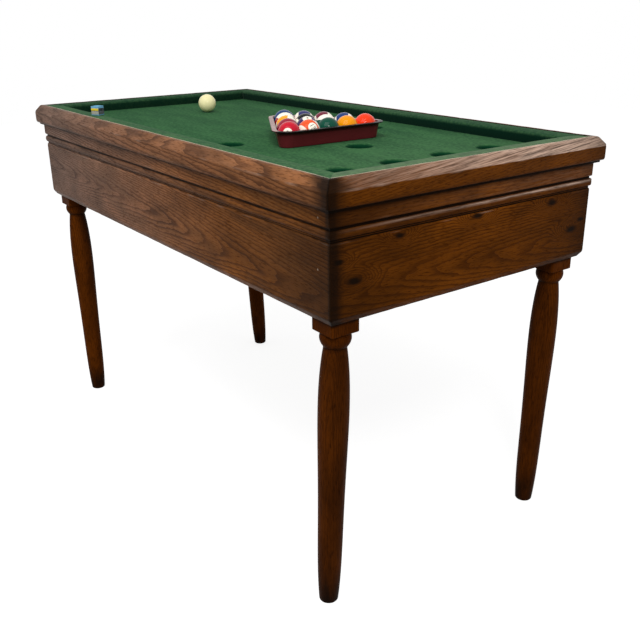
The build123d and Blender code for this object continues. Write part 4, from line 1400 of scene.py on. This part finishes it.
def oak_of(side, kind, oak):
    """The oak of one side's boards: the long sides are greyer, the ends warmer, and one end's apron has knots; the
    friezes are drawn lighter, as painted light.
    """
    knots = []
    fillers = []
    if side in ("front", "back"):
        # The friezes are drawn lighter, painted light against the shade of the rails over them
        name, lift, figure = "fumed_oak_long_boards", 1.0, 1.0
        if kind == "frieze":
            name, lift = "fumed_oak_long_friezes", 1.22
        tones, gloss, ring_width = (oak.early, oak.late, oak.tint), 0.03, oak.ring_width
        # The front side runs towards -X
        for node, (x, z, r) in FILLERS.items():
            offset = frieze_outer if "frieze" in node else 0.0
            fillers.append((grain_place(LOGS[node], -x * MM, z * MM, offset), r * MM))
    else:
        name, lift, figure = "fumed_oak_end_boards", 0.84, 0.5
        # The end friezes are drawn lighter too, painted light against the shade of the rails over them
        if kind == "frieze":
            name, lift = "fumed_oak_end_friezes", 1.18
        tones, gloss, ring_width = (oak.end_early, oak.end_late, oak.end_tint), 0.015, oak.end_ring_width
    if side == "right" and kind == "apron":
        name, lift, figure = "fumed_oak_knotty_board", 1.0, 0.95
        # The right side runs towards -Y
        knots = [(grain_place(LOGS["apron_right"], -y * MM, z * MM, 0.0), r * MM) for y, z, r in END_KNOTS]
    tones = [tuple(lift * part for part in tone) for tone in tones]
    return bpy.data.materials.get(name) or fumed_oak(name, *tones, gloss, ring_width, figure, oak, knots, fillers)


def build_frame(kind, section, reach, clip, oak):
    """The four mitred sides of one layer."""
    for side in SIDES:
        piece = mitred_strip(kind, side, section, reach, clip, oak, oak_of(side, kind, oak))
        stand_for(piece, "table", "stained_oak", f"{kind}_{side}")


class BILLIARD_OT_aprons(bpy.types.Operator):
    """Build the four boards of the body, with eased and knocked edges"""

    bl_idname = "billiard.aprons"
    bl_label = "Aprons"

    def execute(self, context):
        oak = context.scene.billiard_oak
        build_frame("apron", apron_section(oak), 0.0, oak.corner_clip, oak)
        return {"FINISHED"}


class BILLIARD_OT_beads(bpy.types.Operator):
    """Build the half-round strips over the aprons"""

    bl_idname = "billiard.beads"
    bl_label = "Beads"

    def execute(self, context):
        oak = context.scene.billiard_oak
        build_frame("bead", bead_section(oak), bead_outer, oak.corner_clip, oak)
        return {"FINISHED"}


class BILLIARD_OT_friezes(bpy.types.Operator):
    """Build the plain boards between beads and rails"""

    bl_idname = "billiard.friezes"
    bl_label = "Friezes"

    def execute(self, context):
        oak = context.scene.billiard_oak
        build_frame("frieze", frieze_section(oak), frieze_outer, oak.corner_clip, oak)
        return {"FINISHED"}


class BILLIARD_OT_rails(bpy.types.Operator):
    """Build the moulded top rails"""

    bl_idname = "billiard.rails"
    bl_label = "Rails"

    def execute(self, context):
        oak = context.scene.billiard_oak
        build_frame("rail", rail_section(oak), rail_outer, oak.corner_clip + MM, oak)
        return {"FINISHED"}


class BILLIARD_OT_legs(bpy.types.Operator):
    """Build the four turned legs"""

    bl_idname = "billiard.legs"
    bl_label = "Legs"

    def execute(self, context):
        oak = context.scene.billiard_oak
        tones = (oak.leg_early, oak.leg_late, oak.leg_tint, 0.01, oak.leg_ring_width, 0.55)
        wood = fumed_oak("turned_oak_legs", *tones, oak)
        for corner in FOOT_SETTLING:
            points, faces, attributes = leg_surface(corner, context.scene.billiard_leg)
            leg = make_piece(f"leg_{corner}_oak", points, faces, [wood], attributes)
            stand_for(leg, "table", "turned_oak", f"leg_{corner}")
        return {"FINISHED"}


class BILLIARD_OT_underframe(bpy.types.Operator):
    """Finish the hidden pieces: bed board, bearers, braces, cups and bolts"""

    bl_idname = "billiard.underframe"
    bl_label = "Underframe"

    def execute(self, context):
        finishes = {
            sawn_pine(): ("bed_board", "bearer", "corner_brace"),
            stained_beech(): ("pocket_cup",),
            dulled_steel(): ("leg_bolts",),
        }
        for finish, kinds in finishes.items():
            for name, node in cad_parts.items():
                if name.startswith(kinds):
                    node.data.materials.clear()
                    node.data.materials.append(finish)
        return {"FINISHED"}


class BILLIARD_OT_bed_cloth(bpy.types.Operator):
    """Stretch the cloth over the bed and turn it down into the pockets"""

    bl_idname = "billiard.bed_cloth"
    bl_label = "Bed cloth"

    def execute(self, context):
        baize = context.scene.billiard_baize
        points, faces, attributes = bed_cloth_surface(baize)
        finish = wool_baize("wool_baize_bed", baize.bed, baize.bed_shade, baize.hole, baize.dust)
        cloth = make_piece("bed_cloth_baize", points, [faces], [finish], attributes, closed=False, sharp=60)
        thicken = cloth.modifiers.new("Thickness", "SOLIDIFY")
        thicken.thickness = baize.thickness
        thicken.offset = -1
        stand_for(cloth, "table", "bed_baize", "bed_cloth")
        return {"FINISHED"}


class BILLIARD_OT_cushions(bpy.types.Operator):
    """Build the cloth-covered cushions"""

    bl_idname = "billiard.cushions"
    bl_label = "Cushions"

    def execute(self, context):
        baize = context.scene.billiard_baize
        finish = wool_baize("wool_baize_cushions", baize.cushion, baize.cushion_shade, baize.under, baize.dust)
        for side in SIDES:
            points, faces, attributes = cushion_surface(side, baize)
            cushion = make_piece(f"cushion_{side}_baize", points, faces, [finish], attributes, sharp=50)
            stand_for(cushion, "table", "cushion_baize", f"cushion_{side}")
        return {"FINISHED"}


class BILLIARD_OT_rack(bpy.types.Operator):
    """Build the triangular rack"""

    bl_idname = "billiard.rack"
    bl_label = "Rack"

    def execute(self, context):
        game = context.scene.billiard_game
        points, faces, attributes = rack_surface(game)
        rack = make_piece("rack_styrene", points, faces, [moulded_styrene(game.rack)], attributes)
        stand_for(rack, "rack", "rack_plastic", "rack")
        return {"FINISHED"}


class BILLIARD_OT_balls(bpy.types.Operator):
    """Build the fifteen numbered balls and the cue ball"""

    bl_idname = "billiard.balls"
    bl_label = "Balls"

    def execute(self, context):
        game = context.scene.billiard_game
        ink = printed_ink("number_ink", game.ink)
        for place, (number, code, striped, look, end) in BALLS.items():
            node = f"ball_{place:02d}"
            axis = facing(*look)
            band = square_to(axis, facing(*end))
            points, faces, own, slots = numbered_ball(node, axis, band, number, game)
            finish = cast_resin(f"cast_resin_{number}", srgb(code), game.white, game, striped)
            ball = make_piece(f"{node}_resin", points, faces, [finish, ink], {"turned": own}, slots, sharp=60)
            stand_for(ball, node, "ball_resin", node)
        axis = facing(-60, 30)
        band = square_to(axis, facing(0, 90))
        points, faces, own = ball_surface(middle("cue_ball"), axis, band, game.ball_segments)
        finish = cast_resin("cast_resin_ivory", game.ivory, game.ivory, game, numbered=False)
        ball = make_piece("cue_ball_resin", points, faces, [finish], {"turned": own}, sharp=60)
        stand_for(ball, "cue_ball", "cue_ball_resin", "cue_ball")
        return {"FINISHED"}


class BILLIARD_OT_chalk(bpy.types.Operator):
    """Build the block of chalk with its paper band"""

    bl_idname = "billiard.chalk"
    bl_label = "Chalk"

    def execute(self, context):
        game = context.scene.billiard_game
        split = middle("chalk")[Z]
        finishes = [
            pressed_chalk(game.chalk_cake),
            printed_paper("printed_paper", game.label, game.label_pale, split),
            printed_paper("printed_paper_dark", game.label_dark, game.label_grey, split),
        ]
        points, faces, slots = chalk_surface()
        block = make_piece("chalk_block", points, faces, finishes, slots=slots, sharp=25)
        stand_for(block, "chalk", "chalk", "chalk")
        return {"FINISHED"}


def seen_share(tree):
    """One for light that goes to the eye straight, by mirror or through glass, none for all other light."""
    path = add(tree, "LightPath")
    share = path.outputs["Is Camera Ray"]
    for ray in ("Is Glossy Ray", "Is Transmission Ray"):
        share = add(tree, "Math", {0: share, 1: path.outputs[ray]}, operation="MAXIMUM")
    return share


def pale_floor(stage):
    """Matt pale floor. The eye sees white with the faintest shadow: seen directly or mirrored it is mostly its own
    white, and to all other light it is a plain matt floor."""
    material = bpy.data.materials.new("pale_floor")
    material.use_nodes = True
    tree = material.node_tree
    tree.nodes.clear()
    matt = add(tree, "BsdfDiffuse", {"Color": solid(stage.floor)})
    white = add(tree, "Emission", {"Color": (1, 1, 1, 1), "Strength": stage.floor_white})
    shaded = add(tree, "BsdfDiffuse", {"Color": solid(stage.shadow)})
    shown = add(tree, "AddShader", {0: white, 1: shaded})
    surface = add(tree, "MixShader", {0: seen_share(tree), 1: matt, 2: shown})
    add(tree, "OutputMaterial", {"Surface": surface})
    return material


def studio_world(stage):
    """Light from all round: the eye sees plain white, and all other light is dimmer."""
    world = bpy.data.worlds.new("studio")
    world.use_nodes = True
    tree = world.node_tree
    tree.nodes.clear()
    dim = add(tree, "Background", {"Color": (1, 1, 1, 1), "Strength": stage.ambient})
    white = add(tree, "Background", {"Color": (1, 1, 1, 1), "Strength": 1.0})
    mixed = add(tree, "MixShader", {0: seen_share(tree), 1: dim, 2: white})
    add(tree, "OutputWorld", {"Surface": mixed})
    return world


# Each lamp's place and the side of its square
LAMPS = {"overhead": ((0.9, -1.4, 3.0), 2.0), "side": ((2.2, -1.2, 2.4), 0.5)}


def soft_lamp(name, place, size, power):
    """A square soft lamp that faces the middle of the bed."""
    lamp = bpy.data.lights.new(name, "AREA")
    lamp.shape = "SQUARE"
    lamp.size = size
    lamp.energy = power
    holder = bpy.data.objects.new(name, lamp)
    bpy.context.scene.collection.objects.link(holder)
    away = np.array(place) - bed_top * UP
    away /= np.linalg.norm(away)
    side = np.cross(UP, away)
    side /= np.linalg.norm(side)
    axes = np.column_stack([side, np.cross(away, side), away])
    holder.matrix_world = Matrix.Translation(place) @ Matrix(axes.tolist()).to_4x4()


def photo_camera(stage):
    """A camera at the eye, turned by the azimuth, tilted down by the elevation and leaning by the roll."""
    camera = bpy.data.cameras.new("camera")
    camera.lens = stage.lens
    camera.sensor_width = 36.0
    holder = bpy.data.objects.new("camera", camera)
    bpy.context.scene.collection.objects.link(holder)
    level = math.cos(stage.elevation)
    ahead = (-level * math.sin(stage.azimuth), level * math.cos(stage.azimuth), -math.sin(stage.elevation))
    look = np.array(ahead)
    side = np.cross(look, UP)
    side /= np.linalg.norm(side)
    top = np.cross(side, look)
    lean_side = side * math.cos(stage.roll) + top * math.sin(stage.roll)
    lean_top = top * math.cos(stage.roll) - side * math.sin(stage.roll)
    axes = np.column_stack([lean_side, lean_top, -look])
    holder.matrix_world = Matrix.Translation(stage.eye) @ Matrix(axes.tolist()).to_4x4()
    return holder


class BILLIARD_OT_stage(bpy.types.Operator):
    """Set the floor, the light and the camera"""

    bl_idname = "billiard.stage"
    bl_label = "Stage"

    def execute(self, context):
        scene = context.scene
        stage = scene.billiard_stage
        scene.view_settings.view_transform = "Standard"
        half = stage.floor_span / 2
        span = np.linspace(-half, half, 3)
        gx, gy = np.meshgrid(span, span, indexing="ij")
        points = np.stack([gx, gy, np.zeros_like(gx)], -1)
        floor = make_piece("floor", points, [grid_faces(3, 3)], [pale_floor(stage)], closed=False)
        scene.world = studio_world(stage)
        soft_lamp("overhead", *LAMPS["overhead"], stage.key_power)
        soft_lamp("side", *LAMPS["side"], stage.side_power)
        scene.camera = photo_camera(stage)
        return {"FINISHED"}


class BILLIARD_PT_table(bpy.types.Panel):
    """Lists the table's pieces and settings"""

    bl_idname = "BILLIARD_PT_table"
    bl_label = "Billiard table"
    bl_space_type = "VIEW_3D"
    bl_region_type = "UI"
    bl_category = "Billiard table"

    def draw(self, context):
        for operator in OPERATORS:
            self.layout.operator(operator.bl_idname)
        for name in SETTINGS:
            group = getattr(context.scene, name)
            box = self.layout.box()
            for setting in group.bl_rna.properties:
                if setting.identifier in type(group).__annotations__:
                    box.prop(group, setting.identifier)


OPERATORS = (
    BILLIARD_OT_aprons,
    BILLIARD_OT_beads,
    BILLIARD_OT_friezes,
    BILLIARD_OT_rails,
    BILLIARD_OT_legs,
    BILLIARD_OT_underframe,
    BILLIARD_OT_bed_cloth,
    BILLIARD_OT_cushions,
    BILLIARD_OT_rack,
    BILLIARD_OT_balls,
    BILLIARD_OT_chalk,
    BILLIARD_OT_stage,
)
SETTINGS = {
    "billiard_oak": BILLIARD_PG_oak,
    "billiard_leg": BILLIARD_PG_leg,
    "billiard_baize": BILLIARD_PG_baize,
    "billiard_game": BILLIARD_PG_game,
    "billiard_stage": BILLIARD_PG_stage,
}


def register():
    for name, group in SETTINGS.items():
        bpy.utils.register_class(group)
        setattr(bpy.types.Scene, name, bpy.props.PointerProperty(type=group))
    for item in (*OPERATORS, BILLIARD_PT_table):
        bpy.utils.register_class(item)


def unregister():
    for item in (BILLIARD_PT_table, *reversed(OPERATORS)):
        bpy.utils.unregister_class(item)
    for name, group in SETTINGS.items():
        delattr(bpy.types.Scene, name)
        bpy.utils.unregister_class(group)


def main():
    """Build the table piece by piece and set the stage."""
    register()
    for operator in OPERATORS:
        area, action = operator.bl_idname.split(".")
        getattr(getattr(bpy.ops, area), action)()


if __name__ == "__main__":
    main()
